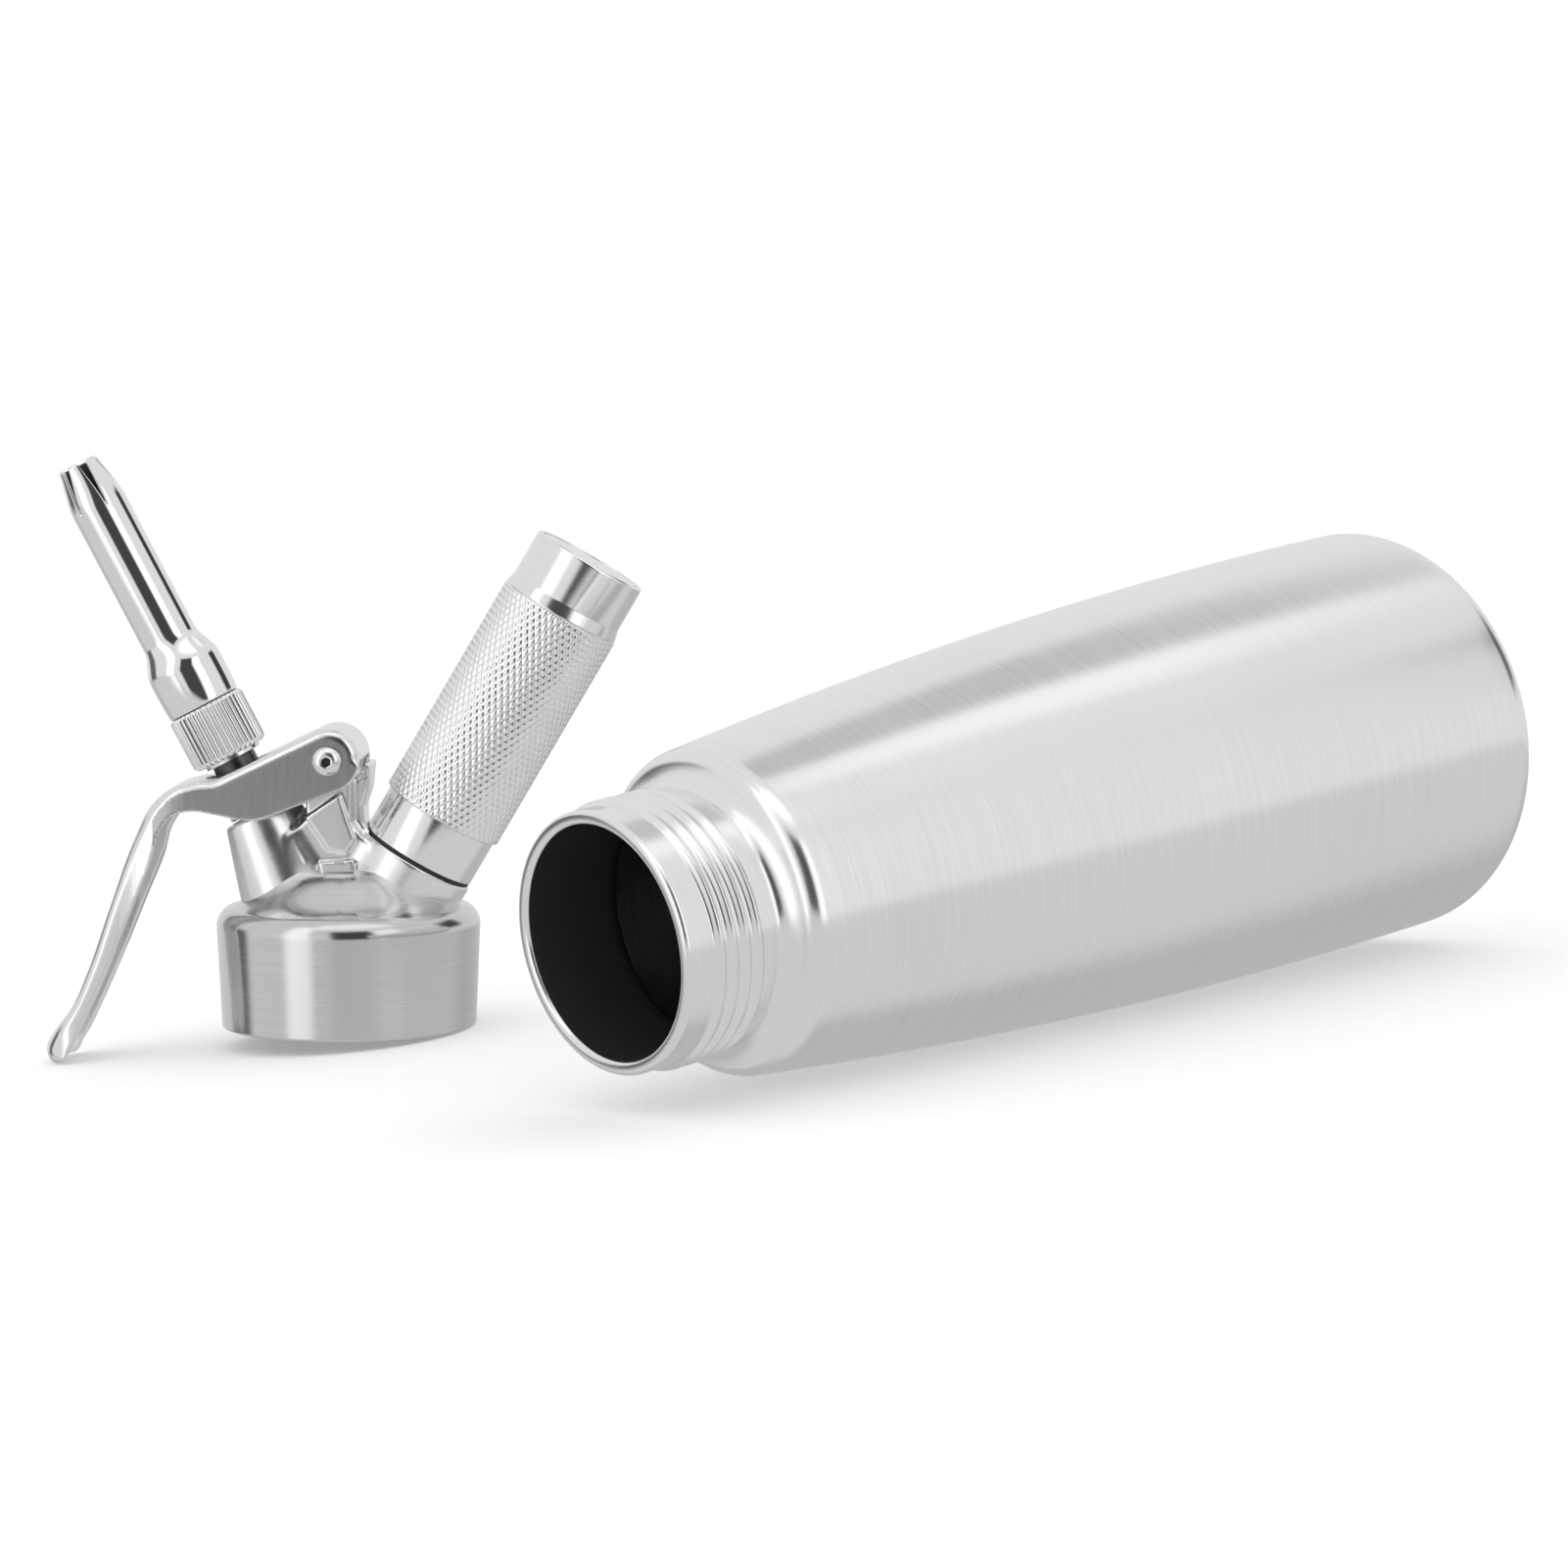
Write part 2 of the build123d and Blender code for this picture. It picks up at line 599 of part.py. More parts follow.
def piston_spring():
    """Return spring round the stem, between the guide bush and the collar."""
    bottom = TOWER_TOP + SPRING_WIRE / 2 + SEAT
    height = COLLAR_TOP - COLLAR_THICK - SPRING_WIRE / 2 - SEAT - bottom
    coil_r = (COLLAR_R + STEM_R) / 2 + 0.35
    path = Pos(0, 0, bottom) * Helix(height / SPRING_TURNS, height, coil_r)
    wire = Plane(origin=path @ 0, z_dir=path % 0) * Circle(SPRING_WIRE / 2)
    return sweep(wire, path=path, is_frenet=True)


def retaining_clip():
    """Open clip over the lever's plate, with two upright lugs."""
    ring = tube(CLIP_R, STEM_THREAD_R + SEAT, CLIP_BOTTOM, CLIP_BOTTOM + CLIP_THICK)
    mouth = Pos(-CLIP_R, 0, CLIP_BOTTOM) * Box(2 * CLIP_R, 1.6 * STEM_THREAD_R, 4 * CLIP_THICK)
    middle = Pos(CLIP_LUG_LENGTH / 2, 0, CLIP_BOTTOM + CLIP_THICK + CLIP_LUG / 2)
    lug = middle * Box(CLIP_LUG_LENGTH, 1.2, CLIP_LUG)
    side = CLIP_R - 1.0
    return ring - mouth + Pos(0, -side, 0) * lug + Pos(0, side, 0) * lug


# ---------------------------------------------------------------- lever
def around_pivot(radius, angle):
    """Point at a distance from the pivot, its angle in degrees from +X towards +Z."""
    return Vector(PIVOT_X + radius * cos(radians(angle)), 0, PIVOT_Z + radius * sin(radians(angle)))


def handle_run():
    """Outer line of the bend and the handle, from the plate's end to the tip."""
    tilt = radians(PLATE_TILT)
    down_plate = Vector(-cos(tilt), 0, -sin(tilt))
    bend = around_pivot(LEVER_END_R, 90 + PLATE_TILT) + down_plate * PLATE_LENGTH
    points = [(x, 0, z) for x, z in HANDLE_OUTER]
    return Spline(bend, *points, finger_edge(169), tangents=[down_plate, (-0.2, 0, -1)])


def finger_edge(angle):
    """Point of the handle's round lower edge, its angle in degrees from +X towards +Z."""
    x = FINGER_EDGE_X + FINGER_EDGE_R * cos(radians(angle))
    return Vector(x, 0, FINGER_EDGE_Z + FINGER_EDGE_R * sin(radians(angle)))


def lever_profile():
    """Side view of the lever, and the run of its outside from the rear end to the tip."""
    low = radians(LOWER_EDGE_TILT)
    under = around_pivot(LEVER_END_R, LOWER_EDGE_TILT - 90)
    over = around_pivot(LEVER_END_R, 90 + PLATE_TILT)
    handle = handle_run()
    rear_end = ThreePointArc(under, around_pivot(LEVER_END_R, 0), over)
    plate = Line(over, handle @ 0)
    inside = [finger_edge(-17)] + [Vector(x, 0, z) for x, z in HANDLE_INNER]
    tip = ThreePointArc(handle @ 1, finger_edge(-90), inside[0])
    inner = Spline(*inside, tangents=[(0.3, 0, 1), (cos(low), 0, sin(low))])
    profile = closed(rear_end, plate, handle, tip, inner, Line(inside[-1], under))
    return profile, Wire([rear_end, plate, handle])


def lever_void():
    """Side view of the channel's inside, run out through its open side."""
    radius = LEVER_END_R - LEVER_WALL
    start = around_pivot(radius, OPEN_ANGLE + 90)
    over = around_pivot(radius, 90 + PLATE_TILT)
    middle = around_pivot(radius, 90 + (OPEN_ANGLE + PLATE_TILT) / 2)
    outside = handle_run()
    inside = []
    for i in range(INSIDE_POINTS + 1):
        along = outside % (i / INSIDE_POINTS)
        inside.append(outside @ (i / INSIDE_POINTS) + Vector(-along.Z, 0, along.X) * LEVER_WALL)
    away = Vector(cos(radians(OPEN_ANGLE)), 0, sin(radians(OPEN_ANGLE))) * 80
    return closed(
        ThreePointArc(start, middle, over),
        Line(over, inside[0]),
        Spline(*inside, tangents=[outside % 0, outside % 1]),
        Polyline(inside[-1], inside[-1] + away, start + away, start),
    )


def lever_plan(inset):
    """Plan of the lever, seen from above, drawn in by inset."""
    w = LEVER_HALF_WIDTH - inset
    h = HANDLE_HALF_WIDTH - inset
    rear = PIVOT_X + LEVER_END_R + 2
    half = [
        Line((rear, -w), (rear, w)),
        Line((rear, w), (NARROW_FROM, w)),
        Spline((NARROW_FROM, w), (NARROW_TO, h), tangents=[(-1, 0), (-1, 0)]),
        Line((NARROW_TO, h), (TIP_ROUND_FROM, h)),
        Spline((TIP_ROUND_FROM, h), (TIP_ROUND_TO + inset, 0), tangents=[(-1, 0), (0, -1)]),
        Spline((TIP_ROUND_TO + inset, 0), (TIP_ROUND_FROM, -h), tangents=[(0, -1), (1, 0)]),
        Line((TIP_ROUND_FROM, -h), (NARROW_TO, -h)),
        Spline((NARROW_TO, -h), (NARROW_FROM, -w), tangents=[(1, 0), (1, 0)]),
        Line((NARROW_FROM, -w), (rear, -w)),
    ]
    below = FINGER_EDGE_Z - 2 * FINGER_EDGE_R
    above = PIVOT_Z + 2 * LEVER_END_R
    return Pos(0, 0, below) * extrude(closed(*half), amount=above - below)


def lever():
    """Pressed channel, open below, that runs into the handle's shallower channel."""
    profile, outside = lever_profile()
    width = 2 * LEVER_HALF_WIDTH
    block = Pos(0, -LEVER_HALF_WIDTH, 0) * extrude(profile, amount=width, dir=(0, 1, 0))
    rolled = []
    for edge in block.edges():
        middle = edge @ 0.5
        lengthwise = abs((edge % 0.5).Y) < 0.9
        if lengthwise and outside.distance_to(Vector(middle.X, 0, middle.Z)) < 0.05:
            rolled.append(edge)
    block = fillet(rolled, LEVER_EDGE_R) & lever_plan(0)
    void = Pos(0, -LEVER_HALF_WIDTH, 0) * extrude(lever_void(), amount=width, dir=(0, 1, 0))
    block -= void & lever_plan(LEVER_WALL)
    slot = extrude(SlotOverall(2 * SLOT_HALF_LENGTH, 2 * SLOT_HALF_WIDTH), amount=20)
    block -= LEVER_FRAME * Pos(-lever_arm(), 0, 0) * slot
    return block - PIVOT_FRAME * Rot(90, 0, 0) * rod(SCREW_R + RUN, -20, 20)


def lever_arm():
    """Distance from the pivot to the nozzle's axis."""
    tilt = radians(NOZZLE_TILT)
    return (PIVOT_X - TOWER_X) * cos(tilt) + (PIVOT_Z - TOWER_Z) * sin(tilt)


def lever_screw():
    """Pivot screw: domed head with a hex socket on the near side."""
    face = LEVER_HALF_WIDTH + SEAT
    shank = rod(SCREW_R, -face - NUT_HEIGHT, face)
    head = rod(SCREW_HEAD_R, face, face + SCREW_HEAD_HEIGHT)
    head = fillet(head.edges().sort_by(Axis.Z)[-1], 1.2)
    socket = extrude(RegularPolygon(SCREW_SOCKET / 2, 6), amount=1.4)
    return shank + head - Pos(0, 0, face + SCREW_HEAD_HEIGHT - 1.3) * socket


def lever_nut():
    """Hex nut on the far side."""
    face = LEVER_HALF_WIDTH + SEAT
    nut = extrude(RegularPolygon(NUT_ACROSS_FLATS / 2, 6, major_radius=False), amount=NUT_HEIGHT)
    nut = Pos(0, 0, -face - NUT_HEIGHT) * nut
    return nut - rod(SCREW_R + SEAT, -30, 0)


def lever_bush():
    """Sleeve round the screw, inside the post."""
    return tube(SCREW_R + RUN + BUSH_WALL, SCREW_R + RUN, -POST_HALF_WIDTH, POST_HALF_WIDTH)


def lever_washers():
    """Two washers between the post and the lever's flanges."""
    inside = POST_HALF_WIDTH + SEAT
    outside = LEVER_HALF_WIDTH - LEVER_WALL - SEAT
    washer = tube(POST_END_R, SCREW_R + RUN, inside, outside)
    return Compound([washer, Rot(180, 0, 0) * washer])


# ---------------------------------------------------------------- nozzle
def nozzle_nut():
    """Straight-ribbed nut with a spigot that the tip is staked onto."""
    teeth = 2 * NUT_RIBS
    points = []
    for i in range(teeth):
        r = NUT_R - NUT_RIB_DEPTH * (i % 2)
        a = 2 * pi * i / teeth
        points.append((r * cos(a), r * sin(a)))
    ribbed = Pos(0, 0, NUT_BOTTOM) * extrude(make_face(Polyline(*points, close=True)), amount=NUT_LENGTH)
    top = NUT_BOTTOM + NUT_LENGTH
    shape = turned(
        (0, NUT_BOTTOM),
        (NUT_R - NUT_CHAMFER, NUT_BOTTOM),
        (NUT_R, NUT_BOTTOM + NUT_CHAMFER),
        (NUT_R, top - NUT_TOP_CHAMFER),
        (NUT_R - NUT_TOP_CHAMFER, top),
        (0, top),
    )
    body = ribbed & shape
    body += rod(TIP_BELL_R - TIP_WALL - SEAT, top - 1, top + SPIGOT_LENGTH)
    body -= rod(STEM_THREAD_R + RUN, NUT_BOTTOM - 1, STEM_TOP + WASHER_THICK + 2 * SEAT)
    body -= rod(NUT_RECESS_R, NUT_BOTTOM - 1, NUT_RECESS_TOP)
    return body - rod(STEM_BORE + 0.4, STEM_TOP, top + SPIGOT_LENGTH + 1)


def nozzle_washer():
    """Flat washer between the stem's top and the nozzle nut."""
    return tube(STEM_THREAD_R - SEAT, STEM_BORE, STEM_TOP + SEAT, STEM_TOP + SEAT + WASHER_THICK)


def nozzle_tip():
    """Bell, cone, long barrel and a drawn-in crown cut into petals."""
    start = NUT_BOTTOM + NUT_LENGTH + SEAT
    bell = start + TIP_BELL_LENGTH
    cone = bell + TIP_CONE_LENGTH
    barrel = cone + TIP_BARREL_LENGTH
    top = barrel + TIP_CROWN_LENGTH
    wall = TIP_WALL
    outline = closed(
        Polyline((TIP_BELL_R - wall, 0, start), (TIP_BELL_R, 0, start), (TIP_BELL_R, 0, bell)),
        Spline((TIP_BELL_R, 0, bell), (TIP_BARREL_R, 0, cone), tangents=[(0, 0, 1), (0, 0, 1)]),
        Line((TIP_BARREL_R, 0, cone), (TIP_BARREL_R, 0, barrel)),
        Spline(
            (TIP_BARREL_R, 0, barrel),
            (TIP_END_R, 0, top),
            tangents=[(0, 0, 1), (-0.16, 0, 1)],
        ),
        Line((TIP_END_R, 0, top), (TIP_END_R - wall * 0.6, 0, top)),
        Spline(
            (TIP_END_R - wall * 0.6, 0, top),
            (TIP_BARREL_R - wall, 0, barrel),
            tangents=[(0.16, 0, -1), (0, 0, -1)],
        ),
        Line((TIP_BARREL_R - wall, 0, barrel), (TIP_BARREL_R - wall, 0, cone)),
        Spline(
            (TIP_BARREL_R - wall, 0, cone),
            (TIP_BELL_R - wall, 0, bell),
            tangents=[(0, 0, -1), (0, 0, -1)],
        ),
        Line((TIP_BELL_R - wall, 0, bell), (TIP_BELL_R - wall, 0, start)),
    )
    body = revolve(outline, Axis.Z)
    half = TIP_SLOT_WIDTH / 2
    notch = make_face(
        Polyline(
            (0, -half, top + 1),
            (0, half, top + 1),
            (0, 0.25, top - TIP_SLOT_DEPTH),
            (0, -0.25, top - TIP_SLOT_DEPTH),
            close=True,
        )
    )
    cutter = extrude(notch, amount=2 * TIP_BARREL_R, dir=(1, 0, 0))
    for i in range(TIP_SLOTS):
        body -= Rot(0, 0, TIP_SLOT_TURN + i * 360 / TIP_SLOTS) * cutter
    return body


# ---------------------------------------------------------------- charger and holder
def gas_charger():
    """Steel cartridge: rounded end, shoulder and narrow neck with its pierced hole."""
    neck_top = CHARGER_FROM + CHARGER_NECK_LENGTH
    end = CHARGER_FROM + CHARGER_LENGTH
    body_from = neck_top + CHARGER_R - CHARGER_NECK_R + 2
    outline = closed(
        Polyline((0, 0, CHARGER_FROM), (CHARGER_NECK_R, 0, CHARGER_FROM), (CHARGER_NECK_R, 0, neck_top)),
        Spline(
            (CHARGER_NECK_R, 0, neck_top),
            (CHARGER_R, 0, body_from),
            tangents=[(0.8, 0, 1), (0, 0, 1)],
        ),
        Line((CHARGER_R, 0, body_from), (CHARGER_R, 0, end - CHARGER_R)),
        ThreePointArc(
            (CHARGER_R, 0, end - CHARGER_R),
            (CHARGER_R * sin(pi / 4), 0, end - CHARGER_R + CHARGER_R * sin(pi / 4)),
            (0, 0, end),
        ),
        Line((0, 0, end), (0, 0, CHARGER_FROM)),
    )
    return revolve(outline, Axis.Z) - rod(PIN_R + RUN, CHARGER_FROM - 1, CHARGER_FROM + PIN_REACH + 1)


def charger_holder():
    """Knurled holder, closed at its top, that presses the charger onto the needle."""
    rim = PORT_RING_THICK / 2
    sleeve = rim + HOLDER_COLLAR_LENGTH
    band = sleeve + HOLDER_SLEEVE_LENGTH
    cap = band + HOLDER_BAND_LENGTH
    end = CHARGER_FROM + CHARGER_LENGTH + SEAT
    top = HOLDER_LENGTH
    edge = HOLDER_EDGE_R
    q = edge * (1 - cos(pi / 4))
    outline = closed(
        Polyline(
            (HOLDER_THREAD_R, 0, rim),
            (HOLDER_COLLAR_R - 0.3, 0, rim),
            (HOLDER_COLLAR_R, 0, rim + 0.3),
            (HOLDER_COLLAR_R, 0, sleeve),
            (HOLDER_R - 0.4, 0, sleeve),
            (HOLDER_R, 0, sleeve + 0.4),
            (HOLDER_R, 0, band - 0.4),
            (HOLDER_R - 0.4, 0, band),
            (HOLDER_BAND_R, 0, band),
            (HOLDER_BAND_R, 0, cap - 0.3),
            (HOLDER_CAP_R, 0, cap),
            (HOLDER_CAP_R, 0, top - edge),
        ),
        ThreePointArc(
            (HOLDER_CAP_R, 0, top - edge), (HOLDER_CAP_R - q, 0, top - q), (HOLDER_CAP_R - edge, 0, top)
        ),
        Polyline(
            (HOLDER_CAP_R - edge, 0, top),
            (DISC_R + SEAT, 0, top),
            (DISC_R + SEAT, 0, top - DISC_THICK),
            (0, 0, top - DISC_THICK),
            (0, 0, end),
            (HOLDER_BORE_R, 0, end),
            (HOLDER_BORE_R, 0, NIPPLE_LENGTH + 1.5),
            (HOLDER_THREAD_R, 0, NIPPLE_LENGTH + 1.0),
            (HOLDER_THREAD_R, 0, rim),
        ),
    )
    return revolve(outline, Axis.Z)


def holder_end_disc():
    """Disc let into the holder's top."""
    bottom = HOLDER_LENGTH - DISC_THICK + SEAT
    disc = rod(DISC_R, bottom, HOLDER_LENGTH - DISC_SUNK)
    return fillet(disc.edges().sort_by(Axis.Z)[-1], 0.5)


# ---------------------------------------------------------------- assembly
CROSS = PIVOT_FRAME * Rot(90, 0, 0)

PIECES = {
    "bottle_shell": (BOTTLE_PLACE, bottle_shell),
    "head_casting": (HEAD_PLACE, head_casting),
    "head_gasket": (HEAD_PLACE, head_gasket),
    "port_nipple": (HEAD_PLACE * PORT_FRAME, port_nipple),
    "port_o_ring": (HEAD_PLACE * PORT_FRAME, port_o_ring),
    "piercing_pin": (HEAD_PLACE * PORT_FRAME, piercing_pin),
    "pin_gasket": (HEAD_PLACE * PORT_FRAME, pin_gasket),
    "non_return_valve": (HEAD_PLACE * PORT_FRAME, non_return_valve),
    "lever_post": (HEAD_PLACE, lever_post),
    "lever": (HEAD_PLACE, lever),
    "lever_screw": (HEAD_PLACE * CROSS, lever_screw),
    "lever_nut": (HEAD_PLACE * CROSS, lever_nut),
    "lever_bush": (HEAD_PLACE * CROSS, lever_bush),
    "lever_washers": (HEAD_PLACE * CROSS, lever_washers),
    "piston_stem": (HEAD_PLACE * NOZZLE_FRAME, piston_stem),
    "stem_thread": (HEAD_PLACE * NOZZLE_FRAME, stem_thread),
    "piston_valve_seal": (HEAD_PLACE * NOZZLE_FRAME, piston_valve_seal),
    "piston_end_screw": (HEAD_PLACE * NOZZLE_FRAME, piston_end_screw),
    "piston_upper_seal": (HEAD_PLACE * NOZZLE_FRAME, piston_upper_seal),
    "piston_guide_bush": (HEAD_PLACE * NOZZLE_FRAME, piston_guide_bush),
    "piston_collar": (HEAD_PLACE * NOZZLE_FRAME, piston_collar),
    "piston_spring": (HEAD_PLACE * NOZZLE_FRAME, piston_spring),
    "retaining_clip": (HEAD_PLACE * NOZZLE_FRAME, retaining_clip),
    "nozzle_nut": (HEAD_PLACE * NOZZLE_FRAME, nozzle_nut),
    "nozzle_washer": (HEAD_PLACE * NOZZLE_FRAME, nozzle_washer),
    "nozzle_tip": (HEAD_PLACE * NOZZLE_FRAME, nozzle_tip),
    "gas_charger": (HEAD_PLACE * PORT_FRAME, gas_charger),
    "charger_holder": (HEAD_PLACE * PORT_FRAME, charger_holder),
    "holder_end_disc": (HEAD_PLACE * PORT_FRAME, holder_end_disc),
}


def main():
    """Write one STEP file for each piece."""
    os.makedirs("parts", exist_ok=True)
    for node, (place, make) in PIECES.items():
        piece = place * make()
        export_step(piece, f"parts/{node}.step")
        print(f"{node}: {piece.volume:.0f} mm3")


if __name__ == "__main__":
    main()
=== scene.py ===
"""Dresses the whipped cream dispenser: brushed bottle, polished head, soft studio light.

Sizes in the classes are millimetres in the head's or the bottle's own frame, angles are
degrees, and every finished mesh is in metres in the shared frame.
"""

import json
import logging
from dataclasses import dataclass, field
from enum import Enum
from typing import Callable

import bmesh
import bpy
import numpy as np
from mathutils import Matrix


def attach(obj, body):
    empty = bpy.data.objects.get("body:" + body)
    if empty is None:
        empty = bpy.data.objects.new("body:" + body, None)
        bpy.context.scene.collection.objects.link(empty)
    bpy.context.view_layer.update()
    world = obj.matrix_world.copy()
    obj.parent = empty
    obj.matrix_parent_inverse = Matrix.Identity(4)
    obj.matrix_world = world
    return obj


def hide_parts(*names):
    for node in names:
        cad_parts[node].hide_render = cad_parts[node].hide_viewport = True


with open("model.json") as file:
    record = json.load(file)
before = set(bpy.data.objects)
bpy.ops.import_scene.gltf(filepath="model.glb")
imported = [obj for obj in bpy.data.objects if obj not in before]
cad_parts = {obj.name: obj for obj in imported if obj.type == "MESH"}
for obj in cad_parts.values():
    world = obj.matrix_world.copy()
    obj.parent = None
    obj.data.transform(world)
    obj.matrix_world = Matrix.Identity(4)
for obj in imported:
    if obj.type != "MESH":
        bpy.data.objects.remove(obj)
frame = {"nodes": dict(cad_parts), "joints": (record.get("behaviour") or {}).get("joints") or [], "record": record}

log = logging.getLogger("dispenser")
Array = np.ndarray
Finished = bpy.types.Material
Socket = bpy.types.NodeSocket
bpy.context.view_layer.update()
MOUNT_DEPTH = 0.012  # from the bottle's lip to its mouth mount, in metres
FAR = 1e9
TINY = 1e-12
RIDGE_SHARE = 0.88  # width of a thread's ridge, as a part of the pitch


# ---------------------------------------------------------------- frames
@dataclass(frozen=True)
class Stand:
    """A frame in which a sub-assembly is drawn.

    origin is in metres, and the rows of axes are the frame's x, y and z in the shared frame.
    """

    origin: Array
    axes: Array

    def place(self, points: Array) -> Array:
        """Points in the frame's millimetres, as metres in the shared frame."""
        return self.origin + points @ self.axes / 1000.0

    def moved(self, x: float, y: float, z: float) -> "Stand":
        """The same axes about another point of this frame."""
        return Stand(self.place(np.array([x, y, z])), self.axes)

    def leaned(self, angle: float) -> "Stand":
        """This frame turned about its own y by an angle in degrees, z towards x."""
        c, s = np.cos(np.radians(angle)), np.sin(np.radians(angle))
        turn = np.array([[c, 0.0, -s], [0.0, 1.0, 0.0], [s, 0.0, c]])
        return Stand(self.origin, turn @ self.axes)

    def local(self, points: Array) -> Array:
        """Points in metres in the shared frame, as the frame's millimetres."""
        return (points - self.origin) @ self.axes.T * 1000.0


@dataclass(frozen=True)
class HeadSizes:
    """Places of the head's own sub-assemblies, in the head's frame."""

    tower_x: float = -17.5
    tower_z: float = 45.0
    nozzle_tilt: float = 27.3
    port_x: float = 17.0
    port_z: float = 41.1
    port_tilt: float = 30.5
    pivot_x: float = -3.3
    pivot_z: float = 65.2
    plate_tilt: float = 25.5

    def head(self) -> Stand:
        """The head's frame, worked out from the lever's and the nozzle's joints."""
        joints = {j["name"]: j for j in frame["joints"]}
        y = -np.array(joints["lever_pivot"]["axis"])
        n = np.array(joints["nozzle_turn"]["axis"])
        c, s = np.cos(np.radians(self.nozzle_tilt)), np.sin(np.radians(self.nozzle_tilt))
        z = c * n + s * np.cross(y, n)
        axes = np.array([np.cross(y, z), y, z])
        tower = np.array([self.tower_x, 0.0, self.tower_z]) / 1000.0
        return Stand(np.array(joints["nozzle_turn"]["pos_m"]) - tower @ axes, axes)

    def nozzle(self) -> Stand:
        """Frame of the tower, stem and nozzle, z along the nozzle's axis."""
        return self.head().moved(self.tower_x, 0.0, self.tower_z).leaned(-self.nozzle_tilt)

    def port(self) -> Stand:
        """Frame of the charger port and holder, z along the holder's axis."""
        return self.head().moved(self.port_x, 0.0, self.port_z).leaned(self.port_tilt)


def bottle_stand() -> Stand:
    """The bottle's frame, z from the mouth to the base, from the record's mouth mount."""
    mount = next(m for m in frame["record"]["mounts"] if m["name"] == "bottle_mouth")
    z = -np.array(mount["axis"])
    y = np.array([0.0, 1.0, 0.0])
    return Stand(np.array(mount["pos_m"]) - MOUNT_DEPTH * z, np.array([np.cross(y, z), y, z]))


# ---------------------------------------------------------------- shapes in numpy
def smooth_step(x: Array) -> Array:
    """0 below 0, 1 above 1, and 3x^2 - 2x^3 between."""
    t = np.clip(x, 0.0, 1.0)
    return t * t * (3.0 - 2.0 * t)


def cubic(a: Array, b: Array, u: Array, v: Array, t: Array) -> Array:
    """Points from a to b that leave along u and arrive along v: the Hermite cubic at t."""
    return (
        (2 * t**3 - 3 * t**2 + 1) * a
        + (t**3 - 2 * t**2 + t) * u
        + (3 * t**2 - 2 * t**3) * b
        + (t**3 - t**2) * v
    )


def hermite(start: tuple, end: tuple, leave: tuple, arrive: tuple, count: int) -> Array:
    """Points of a cubic between two ends, each direction scaled to the chord's length.

    Args:
        start: First point.
        end: Last point.
        leave: Direction at the first point.
        arrive: Direction at the last point.
        count: Number of points, both ends included.

    Returns:
        Array of count points.
    """
    a, b = np.array(start, float), np.array(end, float)
    chord = np.linalg.norm(b - a)
    u = np.array(leave, float) / np.linalg.norm(leave) * chord
    v = np.array(arrive, float) / np.linalg.norm(arrive) * chord
    return cubic(a, b, u, v, np.linspace(0.0, 1.0, count)[:, None])


def arc(centre: tuple, radius: float, start: float, end: float, count: int) -> Array:
    """Points on a circle between two angles in degrees, both ends included."""
    a = np.radians(np.linspace(start, end, count))
    return np.stack([centre[0] + radius * np.cos(a), centre[1] + radius * np.sin(a)], axis=1)


def through(points: list, leave: tuple, arrive: tuple, steps: int) -> Array:
    """Smooth curve through points: a cubic over each chord, with Catmull-Rom directions.

    Args:
        points: Points that the curve goes through.
        leave: Direction at the first point.
        arrive: Direction at the last point.
        steps: Number of pieces between two points.

    Returns:
        Array of points on the curve.
    """
    p = np.array(points, float)
    chords = np.linalg.norm(np.diff(p, axis=0), axis=1)
    slopes = np.diff(p, axis=0) / chords[:, None]
    middle = slopes[:-1] * chords[1:, None] + slopes[1:] * chords[:-1, None]
    tangents = np.vstack([leave, middle, arrive]).astype(float)
    tangents /= np.linalg.norm(tangents, axis=1)[:, None]
    t = np.linspace(0.0, 1.0, steps + 1)[None, :-1, None]
    long = chords[:, None, None]
    u, v = tangents[:-1, None] * long, tangents[1:, None] * long
    curve = cubic(p[:-1, None], p[1:, None], u, v, t)
    return np.vstack([curve.reshape(-1, p.shape[1]), p[-1:]])


def eased(corners: list, radius: float, count: int = 5) -> Array:
    """Open run of straight lines whose inner corners are rounded.

    Each corner becomes a quadratic curve between the points at radius before and after
    it, or at 0.45 of the shorter line where that is less.

    Args:
        corners: Points of the run.
        radius: Distance from a corner at which its curve begins.
        count: Points on each rounded corner.

    Returns:
        Array of points.
    """
    p = np.array(corners, float)
    before, after = p[:-2] - p[1:-1], p[2:] - p[1:-1]
    long_a, long_b = np.linalg.norm(before, axis=1), np.linalg.norm(after, axis=1)
    cut = np.minimum(radius, 0.45 * np.minimum(long_a, long_b))[:, None]
    a = (p[1:-1] + before / long_a[:, None] * cut)[:, None]
    b = (p[1:-1] + after / long_b[:, None] * cut)[:, None]
    t = np.linspace(0.0, 1.0, count)[None, :, None]
    bends = (1 - t) ** 2 * a + 2 * t * (1 - t) * p[1:-1, None] + t**2 * b
    return np.vstack([p[:1], bends.reshape(-1, 2), p[-1:]])


def lathe(profile: Array, columns: int, ripple: Callable | None = None) -> Array:
    """Surface of revolution as a grid of points.

    A point is (r cos a, r sin a, z), where (r, z) runs along the profile and a round the
    axis. ripple(a, z, row) is added to r.

    Args:
        profile: Points (r, z), in order along the outline.
        columns: Points round the axis.
        ripple: Extra radius as a function of angle, height and row number.

    Returns:
        Array of shape (rows, columns, 3).
    """
    angle = np.linspace(0.0, 2 * np.pi, columns, endpoint=False)[None, :]
    r = np.repeat(profile[:, :1], columns, axis=1)
    z = np.repeat(profile[:, 1:], columns, axis=1)
    if ripple is not None:
        r = r + ripple(angle, z, np.arange(len(profile))[:, None])
    return np.stack([r * np.cos(angle), r * np.sin(angle), z], axis=2)


